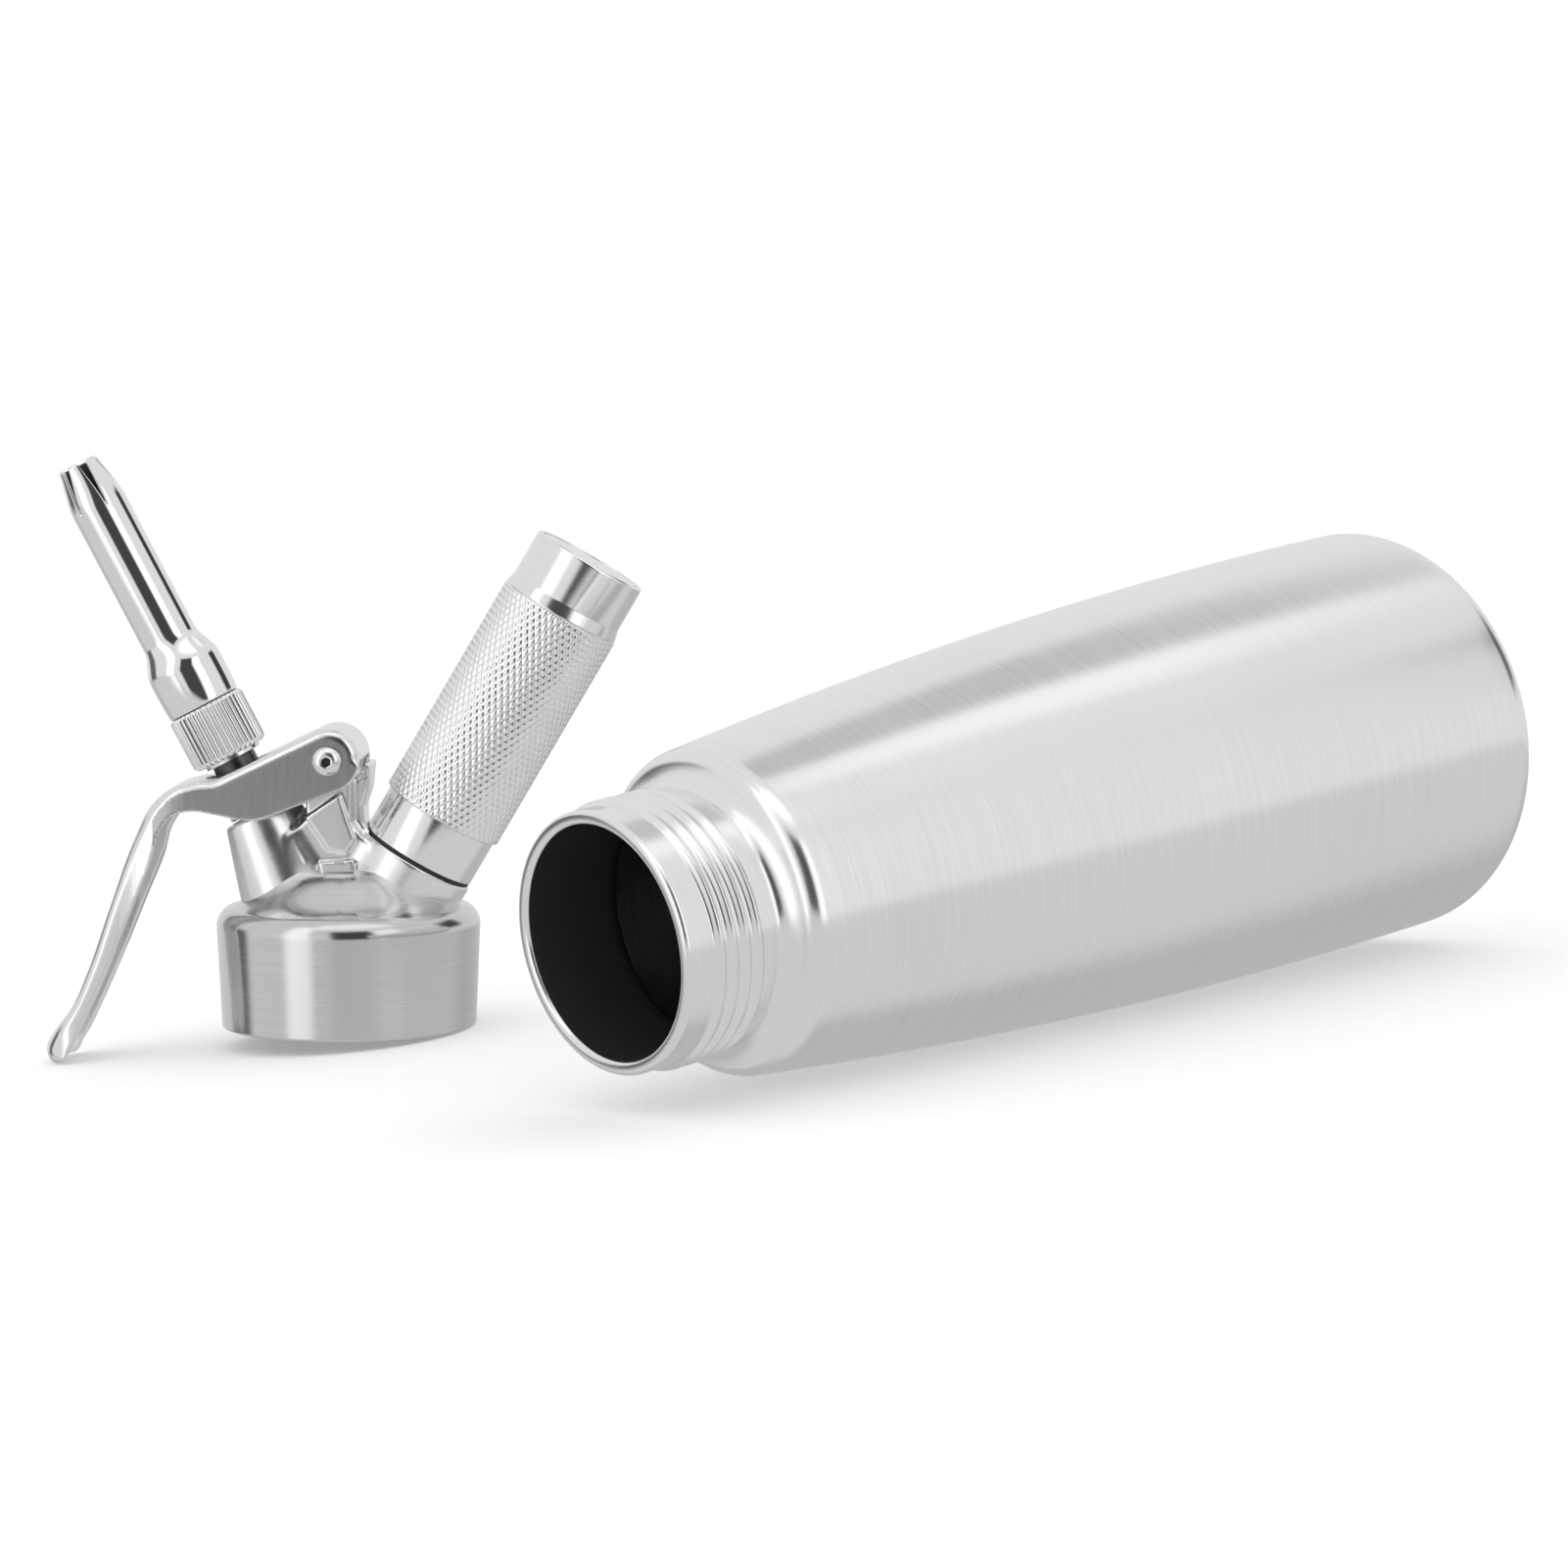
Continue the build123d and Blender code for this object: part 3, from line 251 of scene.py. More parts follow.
def upright(radius: float, heights: Array) -> Array:
    """Points (r, z) at one radius and several heights."""
    return np.stack([np.full_like(heights, radius), heights], axis=1)


def thread(angle: Array, height: Array, pitch: float, start: float, turns: float) -> Array:
    """Rounded helical ridge of height 1: the squared cosine across its width.

    The distance to the helix is taken at the nearest turn, and both ends fade in about an
    eighth of a turn.

    Args:
        angle: Angles round the axis in radians.
        height: Heights along the axis.
        pitch: Rise of the helix in one turn.
        start: Height at which the helix begins.
        turns: Number of turns.

    Returns:
        Height of the ridge, from 0 to 1.
    """
    width, fade = RIDGE_SHARE * pitch, 0.12
    lap = angle / (2 * np.pi)
    s = (height - start) / pitch - lap
    nearest = np.round(s)
    offset = (s - nearest) * pitch
    along = nearest + lap
    ridge = np.where(np.abs(offset) < width / 2, np.cos(np.pi * offset / width) ** 2, 0.0)
    return ridge * smooth_step(along / fade) * smooth_step((turns - along) / fade)


# ---------------------------------------------------------------- distance fields
def run_distance(run: Array, x: Array, z: Array) -> Array:
    """Distance to an open run of straight lines: the least distance to any of them."""
    best = np.full(np.broadcast(x, z).shape, FAR)
    for (ax, az), (bx, bz) in zip(run[:-1], run[1:]):
        ex, ez = bx - ax, bz - az
        t = np.clip(((x - ax) * ex + (z - az) * ez) / (ex * ex + ez * ez + TINY), 0.0, 1.0)
        best = np.minimum(best, (x - ax - t * ex) ** 2 + (z - az - t * ez) ** 2)
    return np.sqrt(best)


def outline_distance(points: Array | tuple, x: Array, z: Array) -> Array:
    """Signed distance to a closed polygon, negative inside.

    It is the least distance to any side, and its sign comes from how many sides a ray
    crosses.

    Args:
        points: Corners of the polygon, as (x, z).
        x: First coordinates of the places.
        z: Second coordinates of the places.

    Returns:
        Distance at each place.
    """
    run = np.vstack([points, points[:1]]).astype(float)
    inside = np.zeros(np.broadcast(x, z).shape, bool)
    for (ax, az), (bx, bz) in zip(run[:-1], run[1:]):
        crosses = (az > z) != (bz > z)
        inside ^= crosses & (x < ax + (bx - ax) * (z - az) / ((bz - az) or TINY))
    return np.where(inside, -1.0, 1.0) * run_distance(run, x, z)


def both(a: Array, b: Array, radius: float | Array) -> Array:
    """Intersection of two distance fields with its edge rounded to a radius."""
    u, v = a + radius, b + radius
    return np.minimum(np.maximum(u, v), 0.0) + np.hypot(np.maximum(u, 0), np.maximum(v, 0)) - radius


def joined(a: Array, b: Array, radius: float) -> Array:
    """Union of two distance fields with a fillet of a radius where they meet."""
    u, v = radius - a, radius - b
    return np.maximum(np.minimum(a, b), radius) - np.hypot(np.maximum(u, 0), np.maximum(v, 0))


def without(a: Array, b: Array, radius: float) -> Array:
    """First field less the second, with the new edge rounded to a radius."""
    return both(a, -b, radius)


def wrap(field_of: Callable, low: tuple, high: tuple, cell: float) -> tuple[Array, Array]:
    """Mesh of the zero surface of a field, by surface nets on a regular grid.

    A cell whose corners differ in sign gets one point, the mean of the crossings on its
    edges. Each grid edge with a crossing gives a quad of its four cells. Four Newton
    steps along the field's slope then put each point on the surface.

    Args:
        field_of: Field as a function of x, y and z arrays.
        low: Lowest corner of the grid.
        high: Highest corner of the grid.
        cell: Side of a cell.

    Returns:
        Points of shape (n, 3) and quads of shape (m, 4).
    """
    x, y, z = (np.arange(a, b + cell, cell) for a, b in zip(low, high))
    f = field_of(x[:, None, None], y[None, :, None], z[None, None, :]).astype(np.float32)
    f = np.broadcast_to(f, (len(x), len(y), len(z)))
    neg = f < 0
    corners = [(i, j, k) for i in (0, 1) for j in (0, 1) for k in (0, 1)]
    size = tuple(n - 1 for n in f.shape)
    shifted = [tuple(slice(s, s + n) for s, n in zip(corner, size)) for corner in corners]
    count = sum(neg[part].astype(np.int8) for part in shifted)
    cells = np.argwhere((count > 0) & (count < 8))
    index = np.full(size, -1, np.int64)
    index[tuple(cells.T)] = np.arange(len(cells))
    total = np.zeros((len(cells), 3))
    hits = np.zeros(len(cells))
    units = np.eye(3, dtype=int)
    for axis, step in enumerate(units):
        for corner in corners:
            if corner[axis]:
                continue
            a, b = cells + corner, cells + corner + step
            fa, fb = f[tuple(a.T)], f[tuple(b.T)]
            cross = (fa < 0) != (fb < 0)
            t = np.where(cross, fa / np.where(cross, fa - fb, 1.0), 0.0)
            total += np.where(cross[:, None], a + t[:, None] * step, 0.0)
            hits += cross
    points = np.array(low) + total / hits[:, None] * cell
    least_slope, reach = 0.3, 0.5 * cell
    for _ in range(4):
        value, slope = sloped(field_of, points)
        move = -slope * (value / np.maximum((slope**2).sum(axis=1), least_slope**2))[:, None]
        points = points + np.clip(move, -reach, reach)
    quads = []
    for axis, step in enumerate(units):
        u, v = units[(axis + 1) % 3], units[(axis + 2) % 3]
        lower = tuple(slice(0, n - s) for n, s in zip(f.shape, step))
        upper = tuple(slice(s, n) for n, s in zip(f.shape, step))
        edges = np.argwhere(neg[lower] != neg[upper])
        others = [a for a in range(3) if a != axis]
        within = [(edges[:, a] > 0) & (edges[:, a] < f.shape[a] - 1) for a in others]
        edges = edges[np.all(within, axis=0)]
        ring = [index[tuple((edges - s).T)] for s in (u * 0, u, u + v, v)]
        quad = np.stack(ring, axis=1)
        outward = neg[tuple(edges.T)]
        quads.append(np.where(outward[:, None], quad, quad[:, ::-1]))
    return points, np.vstack(quads)


def sloped(field_of: Callable, points: Array) -> tuple[Array, Array]:
    """Value and slope of a field at points, the slope by central differences."""
    h = 0.02
    sides = [(field_of(*(points + s).T), field_of(*(points - s).T)) for s in np.eye(3) * h]
    slope = np.stack([(above - below) / (2 * h) for above, below in sides], axis=1)
    return field_of(*points.T), slope


# ---------------------------------------------------------------- meshes
def make_object(
    name: str, points: Array, faces: Array, uv: Array | None, crease: float
) -> bpy.types.Object:
    """Mesh object of points in metres, smooth but for edges sharper than crease.

    Args:
        name: The piece's name.
        points: Points of shape (n, 3).
        faces: Quads of shape (m, 4).
        uv: Coordinates of each face's corners, of shape (m, 4, 2), in millimetres.
        crease: Angle in degrees above which an edge stays sharp.

    Returns:
        The new object, linked to the scene.
    """
    mesh = bpy.data.meshes.new(name)
    mesh.from_pydata(points.tolist(), [], faces.tolist())
    if uv is not None:
        layer = mesh.uv_layers.new(name="surface")
        layer.data.foreach_set("uv", uv.astype(np.float32).ravel())
    shape = bmesh.new()
    shape.from_mesh(mesh)
    closest = 1e-7
    bmesh.ops.remove_doubles(shape, verts=shape.verts, dist=closest)
    bmesh.ops.dissolve_degenerate(shape, edges=shape.edges, dist=closest)
    shape.to_mesh(mesh)
    shape.free()
    mesh.polygons.foreach_set("use_smooth", np.ones(len(mesh.polygons), bool))
    mesh.set_sharp_from_angle(angle=np.radians(crease))
    mesh.update()
    made = bpy.data.objects.new(name, mesh)
    bpy.context.scene.collection.objects.link(made)
    return made


def grid_faces(number: Array) -> Array:
    """Quads of a grid of point numbers, the last column joined to the first."""
    right = np.roll(number, -1, axis=1)
    return np.stack([number[:-1], right[:-1], right[1:], number[1:]], axis=2)


def grid_object(name: str, points: Array, loop: bool, crease: float = 40.0) -> bpy.types.Object:
    """Mesh of a grid of points, closed round its columns, with its own lengths as UV.

    Faces are turned so that the volume they enclose is positive.

    Args:
        name: The piece's name.
        points: Grid of shape (rows, columns, 3), in metres.
        loop: Whether the last row joins the first.
        crease: Angle in degrees above which an edge stays sharp.

    Returns:
        The new object.
    """
    rows, columns = points.shape[:2]
    number = np.arange(rows * columns).reshape(rows, columns)
    if loop:
        number = np.vstack([number, number[:1]])
    faces = grid_faces(number).reshape(-1, 4)
    flat = points.reshape(-1, 3)
    p = flat[faces]
    halves = np.cross(p[:, 1], p[:, 2]) + np.cross(p[:, 2], p[:, 3])
    signed = np.einsum("ij,ij->", p[:, 0], halves)
    steps = np.linalg.norm(np.diff(points, axis=0), axis=2).mean(axis=1) * 1000.0
    v = np.concatenate([[0.0], np.cumsum(steps)])
    if loop:
        v = np.append(v, v[-1] + 1.0)
    width = np.linalg.norm(np.diff(points, axis=1), axis=2).sum(axis=1).mean() * 1000.0
    u = np.linspace(0.0, width, columns + 1)
    low_v, low_u = np.meshgrid(v[:-1], u[:-1], indexing="ij")
    high_v, high_u = np.meshgrid(v[1:], u[1:], indexing="ij")
    corners = [(low_u, low_v), (high_u, low_v), (high_u, high_v), (low_u, high_v)]
    uv = np.stack([np.stack(corner, axis=2) for corner in corners], axis=2).reshape(-1, 4, 2)
    if signed < 0:
        faces, uv = faces[:, ::-1], uv[:, ::-1]
    return make_object(name, flat, faces, uv, crease)


def face_places(piece: bpy.types.Object, stand: Stand) -> tuple[Array, Array]:
    """Centres of a piece's faces in a stand's millimetres, and their normals."""
    faces = piece.data.polygons
    centres, normals = np.empty(len(faces) * 3), np.empty(len(faces) * 3)
    faces.foreach_get("center", centres)
    faces.foreach_get("normal", normals)
    return stand.local(centres.reshape(-1, 3)), normals.reshape(-1, 3)


def two_finishes(piece: bpy.types.Object, first: Finished, second: Finished, marked: Array) -> None:
    """Gives a piece its first finish, and the second one on the faces that are marked."""
    piece.data.materials.append(first)
    piece.data.materials.append(second)
    piece.data.polygons.foreach_set("material_index", marked.astype(np.int32))


def dress(piece: bpy.types.Object, body: str, finish: Finished, slot: str, *nodes: str) -> None:
    """Gives a piece its finish and its body, and hides the nodes it stands for."""
    if not piece.data.materials:
        piece.data.materials.append(finish)
    if nodes:
        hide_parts(*nodes)
    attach(piece, body)
    log.info("%s: %d faces on %s", piece.name, len(piece.data.polygons), body)


# ---------------------------------------------------------------- finishes
NOISE_RANGE = (0.3, 0.7)  # where nearly all of a noise's values lie
QUARTER_TURN = 0.25  # lays the highlight's streak across the lines of the brushing


class Pattern(Enum):
    """Which coordinates a finish reads."""

    SURFACE = "UV"
    SOLID = "Object"


class NodeSheet:
    """Short ways to add and link nodes in one node tree."""

    def __init__(self, tree: bpy.types.NodeTree) -> None:
        """Empties the tree and keeps it."""
        self.tree = tree
        tree.nodes.clear()

    def add(self, kind: str, **settings: object) -> bpy.types.Node:
        """New node of a kind, with its attributes set."""
        node = self.tree.nodes.new(kind)
        for name, value in settings.items():
            setattr(node, name, value)
        return node

    def link(self, source: object, target: Socket) -> None:
        """Joins an output to an input, or sets the input where source is a plain value."""
        if isinstance(source, bpy.types.NodeSocket):
            self.tree.links.new(source, target)
        else:
            target.default_value = source

    def math(self, operation: str, *values: object) -> Socket:
        """Result of a Math node on sockets or numbers."""
        node = self.add("ShaderNodeMath", operation=operation)
        for value, target in zip(values, node.inputs):
            self.link(value, target)
        return node.outputs[0]

    def span(self, value: object, given: tuple, wanted: tuple, soft: bool = False) -> Socket:
        """Value carried from the given range to the wanted one, clamped."""
        node = self.add("ShaderNodeMapRange", interpolation_type="SMOOTHSTEP" if soft else "LINEAR")
        for source, target in zip((value, *given, *wanted), node.inputs):
            self.link(source, target)
        return node.outputs[0]

    def mix(self, kind: str, share: object, low: object, high: object) -> Socket:
        """Mix of two values or sockets: low where the share is 0, high where it is 1."""
        node = self.add("ShaderNodeMix", data_type=kind)
        for source, name in ((share, "Factor"), (low, "A"), (high, "B")):
            self.link(source, node.inputs[name])
        return node.outputs["Result"]

    def noise(self, place: Socket, scale: float, detail: float, rough: float = 0.6) -> Socket:
        """Height of a noise at a place."""
        node = self.add("ShaderNodeTexNoise")
        self.link(place, node.inputs["Vector"])
        node.inputs["Scale"].default_value = scale
        node.inputs["Detail"].default_value = detail
        node.inputs["Roughness"].default_value = rough
        return node.outputs[0]

    def stretched(self, pattern: Pattern, scale: tuple, axes: Array | None = None) -> Socket:
        """Coordinates of a pattern, scaled along three axes, turned into a frame first."""
        place = self.add("ShaderNodeTexCoord").outputs[pattern.value]
        if axes is not None:
            turn = self.add("ShaderNodeMapping", vector_type="POINT")
            turn.inputs["Rotation"].default_value = Matrix(axes.tolist()).to_euler()
            self.link(place, turn.inputs["Vector"])
            place = turn.outputs[0]
        size = self.add("ShaderNodeMapping", vector_type="POINT")
        size.inputs["Scale"].default_value = scale
        self.link(place, size.inputs["Vector"])
        return size.outputs[0]


@dataclass(frozen=True)
class Finish:
    """A finish by its name and its middle colour, on a Principled surface."""

    name: str
    color: tuple[float, float, float]

    def build(self) -> Finished:
        """Node material of this finish."""
        made = bpy.data.materials.new(self.name)
        made.use_nodes = True
        sheet = NodeSheet(made.node_tree)
        bsdf = sheet.add("ShaderNodeBsdfPrincipled")
        self.fill(sheet, bsdf)
        out = sheet.add("ShaderNodeOutputMaterial")
        sheet.link(bsdf.outputs[0], out.inputs["Surface"])
        return made

    def fill(self, sheet: NodeSheet, bsdf: bpy.types.Node) -> None:
        """Sets the surface's inputs, which each kind of finish does in its own way."""
        raise NotImplementedError

    def shades(self, low: float, high: float) -> list[tuple[float, float, float, float]]:
        """The middle colour times low and times high, none above white."""
        return [(*(min(1.0, c * level) for c in self.color), 1.0) for level in (low, high)]


def emboss(
    sheet: NodeSheet, bsdf: bpy.types.Node, height: Socket, strength: float, deep: float
) -> None:
    """Puts a bump of a depth in metres on a surface."""
    bump = sheet.add("ShaderNodeBump")
    bump.inputs["Strength"].default_value = strength
    bump.inputs["Distance"].default_value = deep
    sheet.link(height, bump.inputs["Height"])
    sheet.link(bump.outputs[0], bsdf.inputs["Normal"])


@dataclass(frozen=True)
class BrushedMetal(Finish):
    """Bare metal with fine lines in one direction and slow changes of polish.

    lines is the pattern's scale across, along and through the lines. rough_low and
    rough_high bound the roughness, relief is the lines' depth in metres.
    """

    rough_low: float
    rough_high: float
    lines: tuple[float, float, float]
    relief: float = 2e-6
    shade: float = 0.05
    anisotropy: float = 0.0
    pattern: Pattern = Pattern.SURFACE
    axes: Array | None = None
    clouds: float = 25.0

    def fill(self, sheet: NodeSheet, bsdf: bpy.types.Node) -> None:
        """Roughness and colour follow a mix of lines and clouds, the bump the lines alone."""
        bsdf.inputs["Metallic"].default_value = 1.0
        bsdf.inputs["Anisotropic"].default_value = self.anisotropy
        lines = sheet.noise(sheet.stretched(self.pattern, self.lines, self.axes), 1.0, 5.0, 0.62)
        cloud = sheet.noise(sheet.stretched(Pattern.SOLID, (1.0, 1.0, 1.0)), self.clouds, 3.0, 0.5)
        shares = sheet.math("MULTIPLY", lines, 0.72), sheet.math("MULTIPLY", cloud, 0.28)
        mixed = sheet.math("ADD", *shares)
        rough = sheet.span(mixed, NOISE_RANGE, (self.rough_low, self.rough_high))
        sheet.link(rough, bsdf.inputs["Roughness"])
        share = sheet.span(mixed, NOISE_RANGE, (0.0, 1.0))
        tint = sheet.mix("RGBA", share, *self.shades(1.0 - self.shade, 1.0 + self.shade))
        sheet.link(tint, bsdf.inputs["Base Color"])
        emboss(sheet, bsdf, lines, 1.0, self.relief)
        if self.anisotropy and self.pattern is Pattern.SURFACE:
            tangent = sheet.add("ShaderNodeTangent", direction_type="UV_MAP", uv_map="surface")
            sheet.link(tangent.outputs[0], bsdf.inputs["Tangent"])
            bsdf.inputs["Anisotropic Rotation"].default_value = QUARTER_TURN


@dataclass(frozen=True)
class PlainFinish(Finish):
    """Rubber or plastic with a fine grain and faint patches of wear."""

    roughness: float
    grain: float = 1400.0
    relief: float = 3e-5
    specular: float = 0.5

    def fill(self, sheet: NodeSheet, bsdf: bpy.types.Node) -> None:
        """Roughness and colour follow the patches of wear, the bump the grain."""
        bsdf.inputs["Specular IOR Level"].default_value = self.specular
        place = sheet.stretched(Pattern.SOLID, (1.0, 1.0, 1.0))
        grain = sheet.noise(place, self.grain, 2.0)
        patch = sheet.noise(place, 60.0, 3.0)
        rough = sheet.span(patch, NOISE_RANGE, (self.roughness - 0.06, self.roughness + 0.06))
        sheet.link(rough, bsdf.inputs["Roughness"])
        tint = sheet.mix("RGBA", patch, *self.shades(0.88, 1.1))
        sheet.link(tint, bsdf.inputs["Base Color"])
        emboss(sheet, bsdf, grain, 0.4, self.relief)


# ---------------------------------------------------------------- bottle
@dataclass
class Bottle:
    """Drawn bottle: lip, rolled neck thread, shoulder, long flared side, dished base."""

    length: float = 245.5
    widest: float = 235.0
    max_r: float = 48.3
    side_arc: float = 1640.0
    wall: float = 1.5
    mouth_r: float = 25.0
    lip_r: float = 1.3
    neck_r: float = 28.1
    neck_length: float = 24.0
    shoulder_at: float = 29.5
    shoulder_edge: float = 2.6
    corner_r: float = 7.5
    foot_r: float = 37.0
    hollow: float = 2.0
    base_thick: float = 2.5
    pitch: float = 3.4
    crest: float = 1.08
    thread_from: float = 6.2
    turns: float = 4.5
    columns: int = 288

    def side_r(self, t: Array | float) -> Array | float:
        """Outer radius at a distance t from the mouth: an arc about a far centre."""
        return self.max_r - self.side_arc + np.sqrt(self.side_arc**2 - (self.widest - t) ** 2)

    def dish(self, height: float, count: int) -> Array:
        """Shallow parabola from the foot ring in to the axis."""
        r = np.linspace(self.foot_r, 0.0, count)
        return np.stack([r, height - self.hollow * (1 - (r / self.foot_r) ** 2)], axis=1)

    def outside(self) -> Array:
        """Outline of the outside from the lip's top to the middle of the base."""
        edge = self.shoulder_edge
        peak = (self.side_r(self.shoulder_at) - edge, self.shoulder_at - 0.55 * edge)
        end = self.length - self.corner_r
        side_from = self.shoulder_at + edge
        side = (self.side_r(side_from), side_from)
        t = np.linspace(side_from, end, 44)
        neck = np.linspace(self.lip_r, self.neck_length, 132)
        rise = (self.widest - side_from) / self.side_arc
        return np.vstack(
            [
                arc((self.neck_r - self.lip_r, self.lip_r), self.lip_r, -90, 0, 7)[:-1],
                upright(self.neck_r, neck),
                hermite((self.neck_r, self.neck_length), peak, (0.0, 1.0), (1.0, 0.3), 18)[1:-1],
                hermite(peak, side, (1.0, 0.3), (rise, 1.0), 14)[:-1],
                np.stack([self.side_r(t), t], axis=1),
                arc((self.side_r(end) - self.corner_r, end), self.corner_r, 0, 90, 14)[1:],
                self.dish(self.length, 12),
            ]
        )

    def inside(self) -> Array:
        """Outline of the inside from the middle of the base to the lip's top."""
        top = self.shoulder_at + 2.5
        bottom = self.length - self.base_thick
        corner = self.corner_r - self.wall
        end = bottom - corner
        t = np.linspace(end, top, 34)
        seam = 0.12 * np.exp(-(((t - 52.0) / 1.2) ** 2))
        slope_from = (self.side_r(top) - self.wall, top)
        slope_to = (self.mouth_r, self.neck_length - 1)
        return np.vstack(
            [
                self.dish(bottom, 10)[::-1],
                arc((self.side_r(end) - self.wall - corner, end), corner, 90, 0, 9)[:-1],
                np.stack([self.side_r(t) - self.wall - seam, t], axis=1),
                hermite(slope_from, slope_to, (-0.3, -1.0), (0.0, -1.0), 10)[1:],
                upright(self.mouth_r, np.linspace(self.neck_length - 3, 2.0, 6)),
                arc((self.mouth_r + self.lip_r, self.lip_r), self.lip_r, 180, 270, 7),
            ]
        )

    def in_shaded_hollow(self, r: Array, t: Array) -> Array:
        """Whether faces at a radius and a distance from the mouth get the inside's painted shade.

        They lie under a skin drawn midway through the wall, and for the base between its
        two faces.
        """
        along = [0.0, self.neck_length, self.shoulder_at, 40.0, self.length]
        skin = np.interp(t, along, [26.6, 26.6, 27.0, 34.5, 46.9])
        wall = self.side_r(np.clip(t, 30.0, 240.0)) - 0.6
        deep = (r < np.minimum(skin, wall)) & (t > self.lip_r + 0.2)
        dish_top = self.length - self.hollow
        inner_base = (t > dish_top - self.base_thick - 1.0) & (t < dish_top - 0.4)
        flat_base = np.abs(t - (self.length - self.base_thick)) < 0.3
        base = (inner_base | flat_base) & (r < self.foot_r + 6.0)
        return deep & (base | (t <= dish_top - 0.5 * self.base_thick))

    def dress(self, stand: Stand, steel: Finished, hollow_shade: Finished) -> None:
        """Builds the bottle as one closed surface, its inside near black as painted shade."""
        inside, outside = self.inside(), self.outside()
        profile = np.vstack([inside, outside])

        def ripple(angle: Array, height: Array, row: Array) -> Array:
            """The thread's ridge, on the rows of the outside alone."""
            ridge = self.crest * thread(angle, height, self.pitch, self.thread_from, self.turns)
            return np.where((row >= len(inside)) & (height < self.neck_length), ridge, 0.0)

        grid = lathe(profile, self.columns, ripple)
        piece = grid_object("bottle_body", stand.place(grid), loop=False, crease=50.0)
        x, y, t = face_places(piece, stand)[0].T
        # faces of the inside get the near-black finish: painted shade in the bottle's hollow
        two_finishes(piece, steel, hollow_shade, self.in_shaded_hollow(np.hypot(x, y), t))
        dress(piece, "bottle", steel, "bottle_steel", "bottle_shell")


# ---------------------------------------------------------------- head
@dataclass
class HeadRing:
    """Screw ring with its inside thread, rounded shoulder and sloped roof."""

    bottom_r: float = 30.8
    top_r: float = 31.9
    height: float = 24.5
    edge: float = 0.6
    shoulder_r: float = 28.6
    shoulder_z: float = 29.2
    roof_r: float = 15.0
    roof_z: float = 38.5
    bore_r: float = 29.5
    cavity_top: float = 25.0
    dome_r: float = 20.0
    dome_z: float = 30.0
    pitch: float = 3.4
    crest: float = 1.05
    thread_from: float = 3.5
    turns: float = 4.0
    columns: int = 256

    def dress(self, stand: Stand, steel: Finished) -> None:
        """Builds the ring and roof as one closed surface."""
        bore = np.linspace(self.edge, self.cavity_top - 0.4, 96)
        side = np.linspace(self.edge * 1.4, self.height - 0.2, 8)
        flare = (self.top_r - self.bottom_r) / (self.height - self.edge)
        shoulder, roof = (self.shoulder_r, self.shoulder_z), (self.roof_r, self.roof_z)
        outside = np.vstack(
            [
                arc((self.bottom_r - self.edge, self.edge), self.edge, -90, 0, 6),
                np.stack([self.bottom_r + flare * (side - self.edge), side], axis=1),
                hermite((self.top_r, self.height), shoulder, (0.05, 1.0), (-1.0, 0.25), 20),
                hermite(shoulder, roof, (-1.0, 0.25), (-1.0, 0.35), 16)[1:],
                [(self.roof_r - 5.0, self.roof_z + 0.4), (0.0, self.roof_z + 0.4)],
            ]
        )
        dome = [
            (self.dome_r - 3.9, self.dome_z),
            (self.dome_r, self.cavity_top),
            (self.bore_r, self.cavity_top),
        ]
        inside = np.vstack(
            [
                [(0.0, self.dome_z), (self.dome_r - 4.0, self.dome_z)],
                eased(dome, 0.6)[1:],
                upright(self.bore_r, bore)[::-1],
                [(self.bore_r + 0.3, 0.0)],
            ]
        )

        def ripple(angle: Array, height: Array, row: Array) -> Array:
            """The inside thread, on the rows of the bore."""
            ridge = -self.crest * thread(angle, height, self.pitch, self.thread_from, self.turns)
            in_bore = (row > 6) & (row < len(inside) - 1) & (height < self.cavity_top - 0.5)
            return np.where(in_bore, ridge, 0.0)

        grid = lathe(np.vstack([inside, outside]), self.columns, ripple)
        piece = grid_object("head_ring", stand.place(grid), loop=False, crease=38.0)
        dress(piece, "head", steel, "head_steel", "head_casting")


